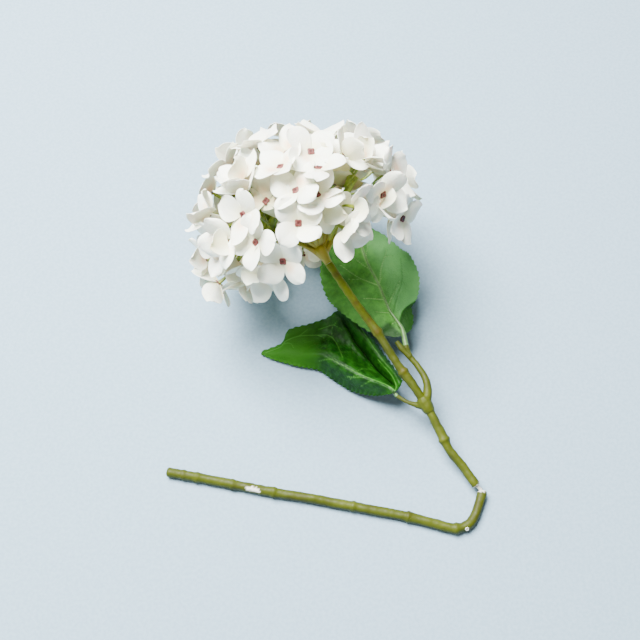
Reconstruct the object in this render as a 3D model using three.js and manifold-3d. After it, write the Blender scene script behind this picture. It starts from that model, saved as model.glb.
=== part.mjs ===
// An artificial hydrangea: a round white head and two leaves on a bent wire stem, laid on a table.
// Millimetres, +Z up. The table is z = 0, the stem's cut end points to -X and the head to +Y.
import * as THREE from "three";
import { mergeVertices } from "three/addons/utils/BufferGeometryUtils.js";
import Module from "manifold-3d";

const wasm = await Module();
wasm.setup();

// Room between pieces that touch
const CLEAR = 0.3;
// Moves the middle of the piece's footprint to the origin
const MIDDLE = new THREE.Vector3(-3.2, 23.6, 0);

// Stem: a steel wire in a moulded olive coat, in two lengths with the wire bare at the kink
const WIRE_RADIUS = 1.1;
const BORE_RADIUS = 1.55;
const LOWER_RADIUS = 3.0;
const UPPER_RADIUS = 2.9;
const TOP_RADIUS = 2.5;
const STEM_SIDES = 8;
const WIRE_SIDES = 6;
const STEM_STEP = 10;
const BEND_STEP = 4;
const RING_HEIGHT = 0.55;
const RING_HALF_LENGTH = 1.1;
// The bottom of the moulded rings lies on the table
const LYING = LOWER_RADIUS + RING_HEIGHT;
const LOWER_ROUTE = [
  [-98, -109, LYING],
  [-79, -112.5, LYING],
  [-56, -117, LYING],
  [-29, -122.5, LYING],
  [-1.5, -127, LYING],
  [21, -131.5, LYING],
  [55, -138, LYING],
  [72, -142.5, LYING],
  [84.4, -145.3, LYING],
  [91.6, -143.8, LYING],
  [96, -139.6, LYING + 0.1],
  [100, -131, LYING + 0.6],
  [102.4, -121.8, 5.3],
];
const UPPER_ROUTE = [
  [99.2, -119, 7],
  [90.4, -106.7, 10],
  [82, -97, 13.5],
  [77.5, -88, 16.5],
  [72.5, -78.7, 20],
  [67.8, -70.7, 23],
  [59.8, -59.5, 28],
  [52, -50, 32],
  [44, -38.7, 37],
  [36.8, -28, 41],
  [28.7, -17.5, 45],
  [20.3, -7, 49.6],
  [11.4, 5, 55],
  [5, 14, 58.6],
  [-1, 23, 62.5],
];
// Moulded rings, as distances from the cut end and from the kink
const LOWER_RINGS = [11, 20, 43, 70, 121, 156, 187];
const UPPER_RINGS = [35, 86, 115];

// Head: an ellipsoid of florets whose crown points away from the stem
const HEAD_CENTRE = new THREE.Vector3(-9.7, 40.4, 72.5);
const CROWN_TURN = 15;
const CROWN_RISE = 21;
const DOME_ACROSS = 70;
const DOME_ALONG = 52;
const GOLDEN_ANGLE = 137.5;
const DOME_PLACES = 52;
const DOME_EDGE = 114;
const FLORET_SPACING = 24.5;
// The leaf under the head takes the place of florets in this part of the dome
const LEAF_GAP = { from: 92, to: 152, below: 78 };

// Floret: four broad petals on the end of a stalk
const PETALS = 4;
const PETAL_THICKNESS = 0.8;
const FLORET_REACH = 16.4;
const PETAL_SHOULDER = { along: 12, across: 9 };
const NOTCH_RADIUS = 6.2;
const CUP_HEIGHT = 5;
const CUP_START = 3;

// Stalks: a green spray whose ends pass through the florets and show as square eyes
const HUB_LENGTH = 13;
const HUB_RADIUS = 4.4;
const BRANCH_RADIUS = 1.5;
const STALK_RADIUS = 0.8;
const EYE_RADIUS = 2.6;
const EYE_HEIGHT = 1.3;
const CLUSTER_DEPTH = 0.5;

// Leaves
const LEAF_THICKNESS = 0.8;
const TOOTH = 1.0;

const OLIVE = new THREE.MeshStandardMaterial({ color: "#8a8c38", roughness: 0.5, metalness: 0 });
const STEEL = new THREE.MeshStandardMaterial({ color: "#d8d6cf", roughness: 0.45, metalness: 0.6 });
const WHITE_CLOTH = new THREE.MeshStandardMaterial({ color: "#efebe3", roughness: 0.85, metalness: 0 });
const LEAF_PALE = new THREE.MeshStandardMaterial({ color: "#5f9655", roughness: 0.7, metalness: 0 });
const LEAF_DARK = new THREE.MeshStandardMaterial({ color: "#23641f", roughness: 0.45, metalness: 0 });
const RIB_GREEN = new THREE.MeshStandardMaterial({ color: "#82aa6e", roughness: 0.5, metalness: 0 });

const degrees = THREE.MathUtils.degToRad;
const vector = (x, y, z) => new THREE.Vector3(x, y, z);
const curveThrough = (points) =>
  new THREE.CatmullRomCurve3(points.map((p) => (p.isVector3 ? p : vector(...p))), false, "centripetal");

// The closed solid that a geometry's triangles bound
function solidOf(geometry) {
  const loose = geometry.index ? geometry.toNonIndexed() : geometry;
  const bare = new THREE.BufferGeometry();
  bare.setAttribute("position", loose.getAttribute("position"));
  const merged = mergeVertices(bare, 1e-4);
  const corners = merged.index.array;
  const kept = [];
  for (let i = 0; i < corners.length; i += 3) {
    const [a, b, c] = [corners[i], corners[i + 1], corners[i + 2]];
    if (a !== b && b !== c && c !== a) kept.push(a, b, c);
  }
  return new wasm.Manifold(
    new wasm.Mesh({
      numProp: 3,
      vertProperties: merged.attributes.position.array,
      triVerts: new Uint32Array(kept),
    }),
  );
}

// A named mesh of one solid
function piece(name, solid, material) {
  const { vertProperties, triVerts } = solid.getMesh();
  const geometry = new THREE.BufferGeometry();
  geometry.setAttribute("position", new THREE.BufferAttribute(vertProperties, 3));
  geometry.setIndex(new THREE.BufferAttribute(triVerts, 1));
  geometry.computeVertexNormals();
  const mesh = new THREE.Mesh(geometry, material);
  mesh.name = name;
  return mesh;
}

const joined = (solids) => solids.reduce((all, next) => all.add(next));

// A direction that a curve never points in, to hold its section upright
function uprightFor(curve) {
  const start = curve.getTangentAt(0);
  const side = vector(0, 0, 0).crossVectors(start, curve.getTangentAt(1));
  if (side.length() > 0.1) return side.normalize();
  return Math.abs(start.z) < 0.8 ? vector(0, 0, 1) : vector(1, 0, 0);
}

// A turned profile of [distance along, radius] pairs, laid along a curve
function sweep(curve, profile, sides, upright = uprightFor(curve)) {
  const lathe = new THREE.LatheGeometry(
    profile.map(([along, radius]) => new THREE.Vector2(radius, along)),
    sides,
  );
  const length = curve.getLength();
  const position = lathe.getAttribute("position");
  for (let i = 0; i < position.count; i++) {
    const part = THREE.MathUtils.clamp(position.getY(i) / length, 0, 1);
    const tangent = curve.getTangentAt(part);
    const side = vector(0, 0, 0).crossVectors(tangent, upright).normalize();
    const up = vector(0, 0, 0).crossVectors(side, tangent);
    const place = curve.getPointAt(part);
    place.addScaledVector(side, position.getX(i)).addScaledVector(up, position.getZ(i));
    position.setXYZ(i, place.x, place.y, place.z);
  }
  return lathe;
}

// Stem

const route = curveThrough([...LOWER_ROUTE, ...UPPER_ROUTE]);
route.arcLengthDivisions = 1200;

// The distance along the route of one of its points
function distanceOfPoint(index) {
  const last = LOWER_ROUTE.length + UPPER_ROUTE.length - 1;
  return route.getLengths()[Math.round((1200 * index) / last)];
}

const LOWER_END = distanceOfPoint(LOWER_ROUTE.length - 1);
const UPPER_START = distanceOfPoint(LOWER_ROUTE.length);
const ROUTE_END = route.getLength();
const HUB_START = ROUTE_END - HUB_LENGTH;
const BEND_START = distanceOfPoint(LOWER_ROUTE.length - 5);

// The distances at which the wire and its bore have a section, closer together in the bend
function stations(from, to) {
  const list = [from];
  let next = 0;
  while (next < to - 1) {
    if (next > from + 1) list.push(next);
    next += next > BEND_START && next < UPPER_START + STEM_STEP ? BEND_STEP : STEM_STEP;
  }
  list.push(to);
  return list;
}

// A ring's four sections: foot, crest, crest, foot
const ringSections = (at) => [-2, -1, 1, 2].map((k) => at + k * RING_HALF_LENGTH);

// A length of coat with its bore and its rings
function coat(from, to, radiusAt, rings) {
  const outer = stations(from, to).filter((s) => rings.every((r) => Math.abs(s - r) > 2.6 * RING_HALF_LENGTH));
  const ringed = rings.flatMap(ringSections);
  const isCrest = (s) => rings.some((r) => Math.abs(s - r) < 1.5 * RING_HALF_LENGTH);
  const skin = [...outer, ...ringed]
    .sort((a, b) => a - b)
    .map((s) => [s, radiusAt(s) + (isCrest(s) ? RING_HEIGHT : 0)]);
  const bore = stations(from, to).map((s) => [s, BORE_RADIUS]).reverse();
  return solidOf(sweep(route, [...skin, ...bore, skin[0]], STEM_SIDES, vector(0, 0, 1)));
}

function upperRadius(s) {
  const part = (s - UPPER_START) / (HUB_START - UPPER_START);
  return THREE.MathUtils.lerp(UPPER_RADIUS, TOP_RADIUS, part);
}

function stemWire() {
  const end = HUB_START + HUB_LENGTH * 0.6;
  const profile = stations(CLEAR, end).map((s) => [s, WIRE_RADIUS]);
  return solidOf(sweep(route, [[CLEAR, 0], ...profile, [end, 0]], WIRE_SIDES, vector(0, 0, 1)));
}

// Leaf collar: a sleeve on the stem with a branch, a short stub and a leaf stalk

const COLLAR_POINT = LOWER_ROUTE.length + 5;
const COLLAR_HALF_LENGTH = 5.5;
const COLLAR_RADIUS = 4.3;
const BRANCH_ROUTE = [
  [67.8, -69, 23.5],
  [69, -60.5, 26],
  [66.8, -52, 27],
  [62.5, -45, 27.5],
  [57.8, -38, 28],
  [55.9, -31.5, 28.2],
];
const STUB_ROUTE = [
  [58.6, -39.5, 28.5],
  [54, -35.5, 30],
  [49.5, -30, 31.5],
];
const LEAF_STALK_ROUTE = [
  [67.5, -72, 23],
  [61.5, -70.2, 22],
  [55.8, -67.4, 20.2],
  [49.8, -63, 18.6],
];
const BRANCH_WIDTH = 2.2;
const LEAF_STALK_WIDTH = 1.45;
const PLUG_RADIUS = 0.8;
const PLUG_DEPTH = 4;

// A solid round twig of [share of the length, radius] pairs
function twig(points, shape, sides) {
  const curve = curveThrough(points);
  const length = curve.getLength();
  const profile = shape.map(([share, radius]) => [share * length, radius]);
  return solidOf(sweep(curve, [[profile[0][0], 0], ...profile, [profile.at(-1)[0], 0]], sides));
}

// The hole for a leaf's plug in the end of a twig, which it runs out of
function socket(points, radius) {
  const end = vector(...points.at(-1));
  const inward = vector(...points.at(-2)).sub(end).normalize();
  const line = new THREE.LineCurve3(
    end.clone().addScaledVector(inward, PLUG_DEPTH + CLEAR),
    end.clone().addScaledVector(inward, -2),
  );
  const length = line.getLength();
  return solidOf(sweep(line, [[0, 0], [0, radius], [length, radius], [length, 0]], 8));
}

function leafCollar() {
  const middle = distanceOfPoint(COLLAR_POINT);
  const sections = [-1, -0.6, 0, 0.6, 1].map((k) => middle + k * COLLAR_HALF_LENGTH);
  const sleeve = sections.map((s, i) => [s, COLLAR_RADIUS - (i === 0 || i === 4 ? 0.6 : 0)]);
  const body = sweep(
    route,
    [[sections[0], 0], ...sleeve, [sections[4], 0]],
    STEM_SIDES,
    vector(0, 0, 1),
  );
  const room = stations(middle - 16, middle + 16).map((s) => [s, upperRadius(s) + CLEAR]);
  const stem = sweep(
    route,
    [[room[0][0], 0], ...room, [room.at(-1)[0], 0]],
    STEM_SIDES,
    vector(0, 0, 1),
  );
  const branch = twig(BRANCH_ROUTE, [0, 0.25, 0.5, 0.75, 0.9, 1].map((t) => [t, BRANCH_WIDTH]), 8);
  const stub = twig(STUB_ROUTE, [[0, 1.9], [0.5, 1.9], [1, 1.6]], 8);
  const stalk = twig(LEAF_STALK_ROUTE, [0, 0.33, 0.66, 1].map((t) => [t, LEAF_STALK_WIDTH]), 8);
  return joined([solidOf(body), branch, stub, stalk])
    .subtract(solidOf(stem))
    .subtract(socket(BRANCH_ROUTE, PLUG_RADIUS + CLEAR + 0.1))
    .subtract(socket(LEAF_STALK_ROUTE, PLUG_RADIUS + CLEAR));
}

// Leaves

// A thin closed blade over a grid; pointAt gives its upper face for u along and v across
function blade(columns, rows, pointAt) {
  const grid = new THREE.PlaneGeometry(1, 1, columns, rows);
  const top = grid.getAttribute("position");
  const uv = grid.getAttribute("uv");
  for (let i = 0; i < top.count; i++) {
    const place = pointAt(uv.getX(i), uv.getY(i));
    top.setXYZ(i, place.x, place.y, place.z);
  }
  grid.computeVertexNormals();
  const normal = grid.getAttribute("normal");
  const points = [];
  for (const depth of [0, LEAF_THICKNESS]) {
    for (let i = 0; i < top.count; i++) {
      const place = vector(0, 0, 0).fromBufferAttribute(top, i);
      place.addScaledVector(vector(0, 0, 0).fromBufferAttribute(normal, i), -depth);
      points.push(place.x, place.y, place.z);
    }
  }
  const faces = [...grid.index.array];
  const upperFaces = faces.length;
  for (let i = 0; i < upperFaces; i += 3) {
    faces.push(faces[i] + top.count, faces[i + 2] + top.count, faces[i + 1] + top.count);
  }
  const rim = rimOf(columns, rows);
  rim.forEach((a, i) => {
    const b = rim[(i + 1) % rim.length];
    faces.push(a, b, b + top.count, a, b + top.count, a + top.count);
  });
  const geometry = new THREE.BufferGeometry();
  geometry.setAttribute("position", new THREE.Float32BufferAttribute(points, 3));
  geometry.setIndex(faces);
  return solidOf(geometry);
}

// The grid's border, once round, in the direction that turns the side walls outwards
function rimOf(columns, rows) {
  const at = (column, row) => row * (columns + 1) + column;
  const list = [];
  for (let c = 0; c < columns; c++) list.push(at(c, 0));
  for (let r = 0; r < rows; r++) list.push(at(columns, r));
  for (let c = columns; c > 0; c--) list.push(at(c, rows));
  for (let r = rows; r > 0; r--) list.push(at(0, r));
  return list;
}

// First leaf: its pale underside faces up, with the moulded rib lying on it
const LEAF_1_RIB = [
  [55.3, -23.6, 28.2],
  [51.2, -15.9, 29.5],
  [46.1, -8.3, 31],
  [37.9, 12.7, 34],
  [30.8, 28, 35],
  [27.1, 43.2, 34],
  [23.3, 59.3, 31.5],
];
const LEAF_1_RIGHT = 29;
const LEAF_1_LEFT = 33;
const LEAF_1_DROOP = 5;
const LEAF_1_COLUMNS = 32;
const LEAF_1_ROWS = 4;
const leaf1Middle = curveThrough(LEAF_1_RIB);

// A point of the first leaf; share runs from the stalk to the tip, across from -1 on the left to 1
function leaf1Point(share, across) {
  const place = leaf1Middle.getPointAt(share);
  const tangent = leaf1Middle.getTangentAt(share);
  const side = vector(tangent.y, -tangent.x, 0).normalize();
  const fullness = Math.pow(Math.sin(Math.PI * Math.pow(share, 1.05)), 0.85);
  const halfWidth = (across > 0 ? LEAF_1_RIGHT : LEAF_1_LEFT) * fullness + 0.9;
  const isTooth = Math.round(share * LEAF_1_COLUMNS) % 2 === 1;
  const toothed = halfWidth + (isTooth && Math.abs(across) > 0.95 ? TOOTH : 0);
  const droop = LEAF_1_DROOP * across * across * fullness;
  // the side next to the stalk is folded down on the right
  const fold = 7 * Math.max(0, across) * Math.max(0, 1 - share / 0.35) * fullness;
  place.addScaledVector(side, across * toothed);
  place.z -= droop + fold;
  return place;
}

// Second leaf: dark side up, creased, its edges resting near the table. Both edges are points
// from the stalk to the tip
const LEAF_2_NEAR_EDGE = [
  [46.2, -62.4, 21.8],
  [36.8, -59.8, 12],
  [21.9, -53.7, 4],
  [8.7, -44.9, 3],
  [-1.3, -38, 3],
  [-15.5, -35.2, 3],
  [-33.1, -29.5, 2.5],
  [-40, -25.9, 2],
];
const LEAF_2_FAR_EDGE = [
  [50.6, -59.2, 22.6],
  [53, -51.8, 18],
  [48.2, -41.8, 15],
  [42.6, -32, 12],
  [34.8, -20.5, 14],
  [27.5, -11.6, 16],
  [20.2, -3.9, 17],
  [12, 0.4, 13],
  [5.4, -2.7, 9],
  [-8.1, -7.9, 9],
  [-21.7, -12, 8],
  [-25.7, -19.7, 5.5],
  [-39.4, -24.6, 2],
];
const LEAF_2_COLUMNS = 40;
const LEAF_2_ROWS = 6;
const LEAF_2_RIDGE = { across: 0.3, width: 0.3, height: 11 };
const LEAF_2_FOLD = { across: 0.62, width: 0.2, depth: 6 };
const leaf2Near = curveThrough(LEAF_2_NEAR_EDGE);
const leaf2Far = curveThrough(LEAF_2_FAR_EDGE);

// A point of the second leaf; share runs from the stalk to the tip, across from the near edge to
// the far one
function leaf2Point(share, across) {
  const near = leaf2Near.getPointAt(share);
  const far = leaf2Far.getPointAt(share);
  const place = near.clone().lerp(far, across);
  const fullness = Math.sin(Math.PI * Math.pow(share, 0.7));
  const hill = (at, { across: middle, width }) => Math.exp(-(((at - middle) / width) ** 2));
  const ridge = LEAF_2_RIDGE.height * hill(across, LEAF_2_RIDGE);
  const fold = LEAF_2_FOLD.depth * hill(across, LEAF_2_FOLD);
  const sides = 1 - (2 * across - 1) ** 6;
  place.z += (ridge - fold * (1 - share)) * fullness * sides;
  const isTooth = Math.round(share * LEAF_2_COLUMNS) % 2 === 1;
  if (isTooth && Math.abs(across - 0.5) > 0.49) {
    const outward = far.clone().sub(near).setZ(0).normalize();
    place.addScaledVector(outward, across > 0.5 ? TOOTH : -TOOTH);
  }
  return place;
}

// A rib with a plug at its start that sits in a twig's socket
function rib(twigPoints, points, shape) {
  const end = vector(...twigPoints.at(-1));
  const inward = vector(...twigPoints.at(-2)).sub(end).normalize();
  const plugStart = end.clone().addScaledVector(inward, PLUG_DEPTH);
  const seat = end.clone().addScaledVector(inward, -CLEAR - 0.1);
  const plug = new THREE.LineCurve3(plugStart, seat.clone().addScaledVector(inward, -1.5));
  const plugSolid = solidOf(
    sweep(plug, [[0, 0], [0, PLUG_RADIUS], [plug.getLength(), PLUG_RADIUS], [plug.getLength(), 0]], 6),
  );
  return joined([plugSolid, twig([seat, ...points], shape, 6)]);
}

// The first leaf's rib lies on its upper face
function leaf1Rib() {
  const shares = [0.04, 0.2, 0.4, 0.6, 0.8];
  const points = shares.map((share) => {
    const place = leaf1Middle.getPointAt(share);
    place.z += CLEAR + THREE.MathUtils.lerp(1.9, 0.75, share);
    return place;
  });
  const shape = [[0, 1.7], [0.08, 1.6], [0.25, 1.2], [0.45, 0.9], [0.7, 0.7], [1, 0.4]];
  return rib(BRANCH_ROUTE, points, shape);
}

// The second leaf's rib runs below the blade towards its tip
const LEAF_2_RIB_DROP = 3.8;
function leaf2Rib() {
  const shares = [0.08, 0.2, 0.4, 0.6];
  const points = shares.map((share) => {
    const place = leaf2Point(share, LEAF_2_RIDGE.across);
    place.z -= LEAF_2_RIB_DROP;
    return place;
  });
  return rib(LEAF_STALK_ROUTE, points, [[0, 1.1], [0.15, 0.9], [0.5, 0.7], [1, 0.4]]);
}

// Head

const laid = new THREE.Group();
laid.position.copy(MIDDLE);
const head = new THREE.Group();
head.position.copy(HEAD_CENTRE);
head.rotation.set(degrees(CROWN_RISE - 90), 0, degrees(CROWN_TURN), "ZXY");
laid.add(head);
laid.updateMatrixWorld(true);

// Where a floret sits: the angle round the head from its upper side, the angle down from the
// crown, the depth as a share of the dome, how it leans round and down, and its spin
const seat = (around, down, depth, leanRound, leanDown, spin) => ({
  around,
  down,
  depth,
  leanRound,
  leanDown,
  spin,
});
const UPPER_SIDE_SEATS = [
  seat(-11, 106, 1.06, 22, -15, 60),
  seat(-8, 87, 1.02, -19, -26, 48),
  seat(1, 92, 0.975, -7, -29, 30),
  seat(5, 76, 1.02, -5, -22, 25),
  seat(4, 63, 1.03, 2, 19, 56),
  seat(-13, 68, 1, -5, -17, 63),
  seat(-36, 91, 1, -10, 5, 38),
  seat(-34, 110, 1.03, -16, -25, 15),
  seat(-25, 126, 1.05, -9, -24, 59),
  seat(36, 98, 1, -8, 30, 21),
  seat(55, 114, 1, -13, -2, 57),
  seat(19, 104, 1, 20, 7, 2),
  seat(13, 117, 0.98, 18, 6, 38),
  seat(-30, 39, 0.98, -3, -7, 1),
  seat(-100, 26, 0.99, -20, 3, 35),
  seat(-35, 68, 1, 3, -21, 32),
  seat(-34, 75, 0.95, -10, -30, 81),
  seat(33, 72, 1, 2, -5, 4),
  seat(23, 65, 0.96, 29, 18, 44),
  seat(49, 84, 0.97, 0, 13, 55),
  seat(-51, 103, 1.02, 3, -10, 4),
  seat(-58, 82, 1, -7, -12, 57),
  seat(-62, 102, 0.97, -9, -2, 15),
  seat(-94, 105, 0.99, -2, -19, 85),
  seat(-92, 122, 1.06, -14, -14, 20),
  seat(-47, 136, 0.97, -7, -18, 58),
  seat(-26, 85, 0.86, -9, -14, 10),
  seat(38, 71, 0.88, 10, 13, 21),
  seat(39, 102, 0.88, 12, -4, 32),
  seat(5, 99, 0.85, 36, 29, 6),
];
// Three florets under the head face the table, and their petals lie on it
const TABLE_SEATS = [
  seat(180, 106, 1.04, 0, -4, 45),
  seat(195, 87, 1.07, -15, 14, 20),
  seat(165, 87, 1.07, 15, 14, 70),
];

// The dome's point and outward direction at a seat, in the head's own frame
function domeAt({ around, down, depth }) {
  const a = degrees(around);
  const d = degrees(down);
  const round = Math.sin(d);
  const point = vector(
    DOME_ACROSS * round * Math.sin(a),
    -DOME_ACROSS * round * Math.cos(a),
    DOME_ALONG * Math.cos(d),
  ).multiplyScalar(depth);
  const outward = vector(
    (round * Math.sin(a)) / DOME_ACROSS,
    (-round * Math.cos(a)) / DOME_ACROSS,
    Math.cos(d) / DOME_ALONG,
  ).normalize();
  return { point, outward };
}

const inLeafGap = ({ around, down }) =>
  around > LEAF_GAP.from && around < LEAF_GAP.to && down > LEAF_GAP.below;

// The spin that points a petal at another seat, so that the two florets cross
function spinTowards(place, other) {
  const local = domeAt(other).point.applyMatrix4(frameAt(place).invert());
  return -THREE.MathUtils.radToDeg(Math.atan2(local.y, local.x));
}

// The other seats follow a golden-angle spiral over the dome and keep clear of those above
function spiralSeats(taken) {
  const seats = [];
  const edge = 1 - Math.cos(degrees(DOME_EDGE));
  for (let i = 0; i < DOME_PLACES; i++) {
    const down = THREE.MathUtils.radToDeg(Math.acos(1 - (edge * (i + 0.5)) / DOME_PLACES));
    const around = THREE.MathUtils.euclideanModulo(i * GOLDEN_ANGLE, 360);
    const depth = 0.94 + 0.015 * Math.cos(2.4 * i);
    const next = seat(around, down, depth, 5 * Math.cos(1.7 * i), 5 * Math.sin(2.9 * i), 0);
    const distanceTo = (other) => domeAt(other).point.distanceTo(domeAt(next).point);
    const nearest = [...taken, ...seats].reduce((a, b) => (distanceTo(b) < distanceTo(a) ? b : a));
    if (distanceTo(nearest) < FLORET_SPACING || inLeafGap(next)) continue;
    seats.push({ ...next, spin: spinTowards(next, nearest) });
  }
  return seats;
}

const CHOSEN_SEATS = [...UPPER_SIDE_SEATS, ...TABLE_SEATS];
const SEATS = [...CHOSEN_SEATS, ...spiralSeats(CHOSEN_SEATS)];

// A floret's frame: x round the head, z out through its face
function frameAt(place) {
  const { point, outward } = domeAt(place);
  const a = degrees(place.around);
  const round = vector(Math.cos(a), Math.sin(a), 0);
  const down = vector(0, 0, 0).crossVectors(round, outward);
  const face = outward
    .clone()
    .addScaledVector(round, Math.tan(degrees(place.leanRound)))
    .addScaledVector(down, Math.tan(degrees(place.leanDown)))
    .normalize();
  const x = round.clone().addScaledVector(face, -round.dot(face)).normalize();
  const y = vector(0, 0, 0).crossVectors(face, x);
  const frame = new THREE.Matrix4().makeBasis(x, y, face).setPosition(point);
  return frame.multiply(new THREE.Matrix4().makeRotationZ(-degrees(place.spin)));
}

// The flat outline of a floret: four blunt petals with notches between them
function floretShape() {
  const outline = [];
  for (let k = 0; k < PETALS; k++) {
    const turn = (2 * Math.PI * k) / PETALS;
    const at = (along, across) =>
      outline.push(new THREE.Vector2(along, across).rotateAround(new THREE.Vector2(), turn));
    at(NOTCH_RADIUS * Math.SQRT1_2, -NOTCH_RADIUS * Math.SQRT1_2);
    at(PETAL_SHOULDER.along, -PETAL_SHOULDER.across);
    at(FLORET_REACH, 0);
    at(PETAL_SHOULDER.along, PETAL_SHOULDER.across);
  }
  return new THREE.Shape(outline);
}

// How far a floret's face rises at a point; opposite and neighbouring petals differ
function cupAt(x, y, index) {
  const out = Math.max(0, Math.hypot(x, y) - CUP_START) / (FLORET_REACH - CUP_START);
  const turn = Math.atan2(y, x);
  const uneven = 1 + 0.3 * Math.cos(turn + 2.1 * index) + 0.25 * Math.cos(2 * turn + 1.3 * index);
  return CUP_HEIGHT * uneven * Math.pow(out, 1.3);
}

// One floret; petals that would reach below the table lie flat on it
function floret(place, index) {
  const geometry = new THREE.ExtrudeGeometry(floretShape(), {
    depth: PETAL_THICKNESS,
    bevelEnabled: false,
    curveSegments: 1,
  });
  const toHead = frameAt(place);
  const toTable = head.matrixWorld.clone().multiply(toHead);
  const fromTable = head.matrixWorld.clone().invert();
  const position = geometry.getAttribute("position");
  for (let i = 0; i < position.count; i++) {
    const isFace = position.getZ(i) > PETAL_THICKNESS / 2;
    const spot = vector(0, 0, 0).fromBufferAttribute(position, i);
    spot.z += cupAt(spot.x, spot.y, index);
    spot.applyMatrix4(toTable);
    spot.z = Math.max(spot.z, isFace ? 0 : PETAL_THICKNESS);
    spot.applyMatrix4(fromTable);
    position.setXYZ(i, spot.x, spot.y, spot.z);
  }
  return solidOf(geometry);
}

// The stem's end, seen from the head's own frame
const hubTop = head.worldToLocal(laid.localToWorld(route.getPointAt(1)));

// The spray parts into clusters, whose directions are [around, down]
const CLUSTERS = [
  [-15, 95],
  [25, 95],
  [-50, 105],
  [60, 95],
  [-80, 85],
  [-20, 50],
  [50, 45],
  [150, 50],
  [-130, 50],
  [-125, 95],
  [170, 95],
];

function clusterPoint([around, down]) {
  const { point } = domeAt({ around, down, depth: CLUSTER_DEPTH });
  return point.lerp(hubTop, 0.15);
}

// The cluster whose direction is nearest to a seat's
function clusterFor(place) {
  const { point } = domeAt(place);
  const distance = (cluster) => domeAt({ around: cluster[0], down: cluster[1], depth: 1 }).point.distanceTo(point);
  return CLUSTERS.reduce((best, next) => (distance(next) < distance(best) ? next : best));
}

// A floret's stalk from its cluster through the floret to the eye on its face
function stalk(place) {
  const frame = frameAt(place);
  const onAxis = (height) => vector(0, 0, height).applyMatrix4(frame);
  const start = clusterPoint(clusterFor(place));
  const end = PETAL_THICKNESS + EYE_HEIGHT;
  const middle = start.clone().lerp(onAxis(-9), 0.55);
  const curve = curveThrough([start, middle, onAxis(-7), onAxis(end)]);
  const length = curve.getLength();
  const profile = [
    [0, 0],
    [0, STALK_RADIUS],
    [length - end, STALK_RADIUS],
    [length - EYE_HEIGHT * 0.4, EYE_RADIUS],
    [length, 0],
  ];
  return solidOf(sweep(curve, profile, 4));
}

function branch(cluster) {
  const end = clusterPoint(cluster);
  const middle = hubTop.clone().lerp(end, 0.5).add(vector(0, 0, 3));
  const shape = [[0, BRANCH_RADIUS + 0.4], [0.5, BRANCH_RADIUS], [1, BRANCH_RADIUS - 0.3]];
  return twig([hubTop, middle, end], shape, 5);
}

// The hub grips the end of the wire just above the coat
function hub() {
  const start = HUB_START + CLEAR;
  const wireEnd = HUB_START + HUB_LENGTH * 0.6 + CLEAR;
  const profile = [
    [start, 0],
    [start, TOP_RADIUS + 0.6],
    [start + 2.5, TOP_RADIUS + 0.5],
    [ROUTE_END - 4, HUB_RADIUS],
    [ROUTE_END, HUB_RADIUS * 0.6],
    [ROUTE_END, 0],
  ];
  const bore = stations(HUB_START - STEM_STEP, wireEnd).map((s) => [s, BORE_RADIUS]);
  const body = solidOf(sweep(route, profile, 8, vector(0, 0, 1)));
  const room = sweep(route, [[bore[0][0], 0], ...bore, [wireEnd, 0]], STEM_SIDES, vector(0, 0, 1));
  return body.subtract(solidOf(room));
}

// The same solid, from the stem's frame into the head's
function intoHead(solid) {
  const { vertProperties, triVerts } = solid.getMesh();
  const geometry = new THREE.BufferGeometry();
  geometry.setAttribute("position", new THREE.BufferAttribute(vertProperties, 3));
  geometry.setIndex(new THREE.BufferAttribute(triVerts, 1));
  geometry.applyMatrix4(laid.matrixWorld).applyMatrix4(head.matrixWorld.clone().invert());
  return solidOf(geometry);
}

// The head is one body: the florets grow from the ends of the stalks, and the stalks from the hub.
// An eye that faces the table ends at it
function flowerHead() {
  const florets = SEATS.map(floret);
  const stalks = SEATS.map(stalk);
  const whole = joined([intoHead(hub()), ...CLUSTERS.map(branch), ...stalks, ...florets]);
  const onTable = head.worldToLocal(vector(0, 0, 0));
  const up = head.worldToLocal(vector(0, 0, 1)).sub(onTable);
  return whole.trimByPlane(up.toArray(), up.dot(onTable));
}

laid.add(
  piece("stem_wire", stemWire(), STEEL),
  piece("stem_lower", coat(0, LOWER_END, () => LOWER_RADIUS, LOWER_RINGS), OLIVE),
  piece(
    "stem_upper",
    coat(UPPER_START, HUB_START, upperRadius, UPPER_RINGS.map((s) => s + UPPER_START)),
    OLIVE,
  ),
  piece("leaf_collar", leafCollar(), OLIVE),
  piece("leaf_1", blade(LEAF_1_COLUMNS, LEAF_1_ROWS, (u, v) => leaf1Point(u, 1 - 2 * v)), LEAF_PALE),
  piece("leaf_1_rib", leaf1Rib(), RIB_GREEN),
  piece("leaf_2", blade(LEAF_2_COLUMNS, LEAF_2_ROWS, (u, v) => leaf2Point(u, v)), LEAF_DARK),
  piece("leaf_2_rib", leaf2Rib(), RIB_GREEN),
);
head.add(piece("flower_head", flowerHead(), WHITE_CLOTH));

const hydrangea = new THREE.Group();
hydrangea.add(laid);

export default hydrangea;
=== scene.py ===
import math
import random

import bpy
from mathutils import Matrix, Vector, kdtree, noise


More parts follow.
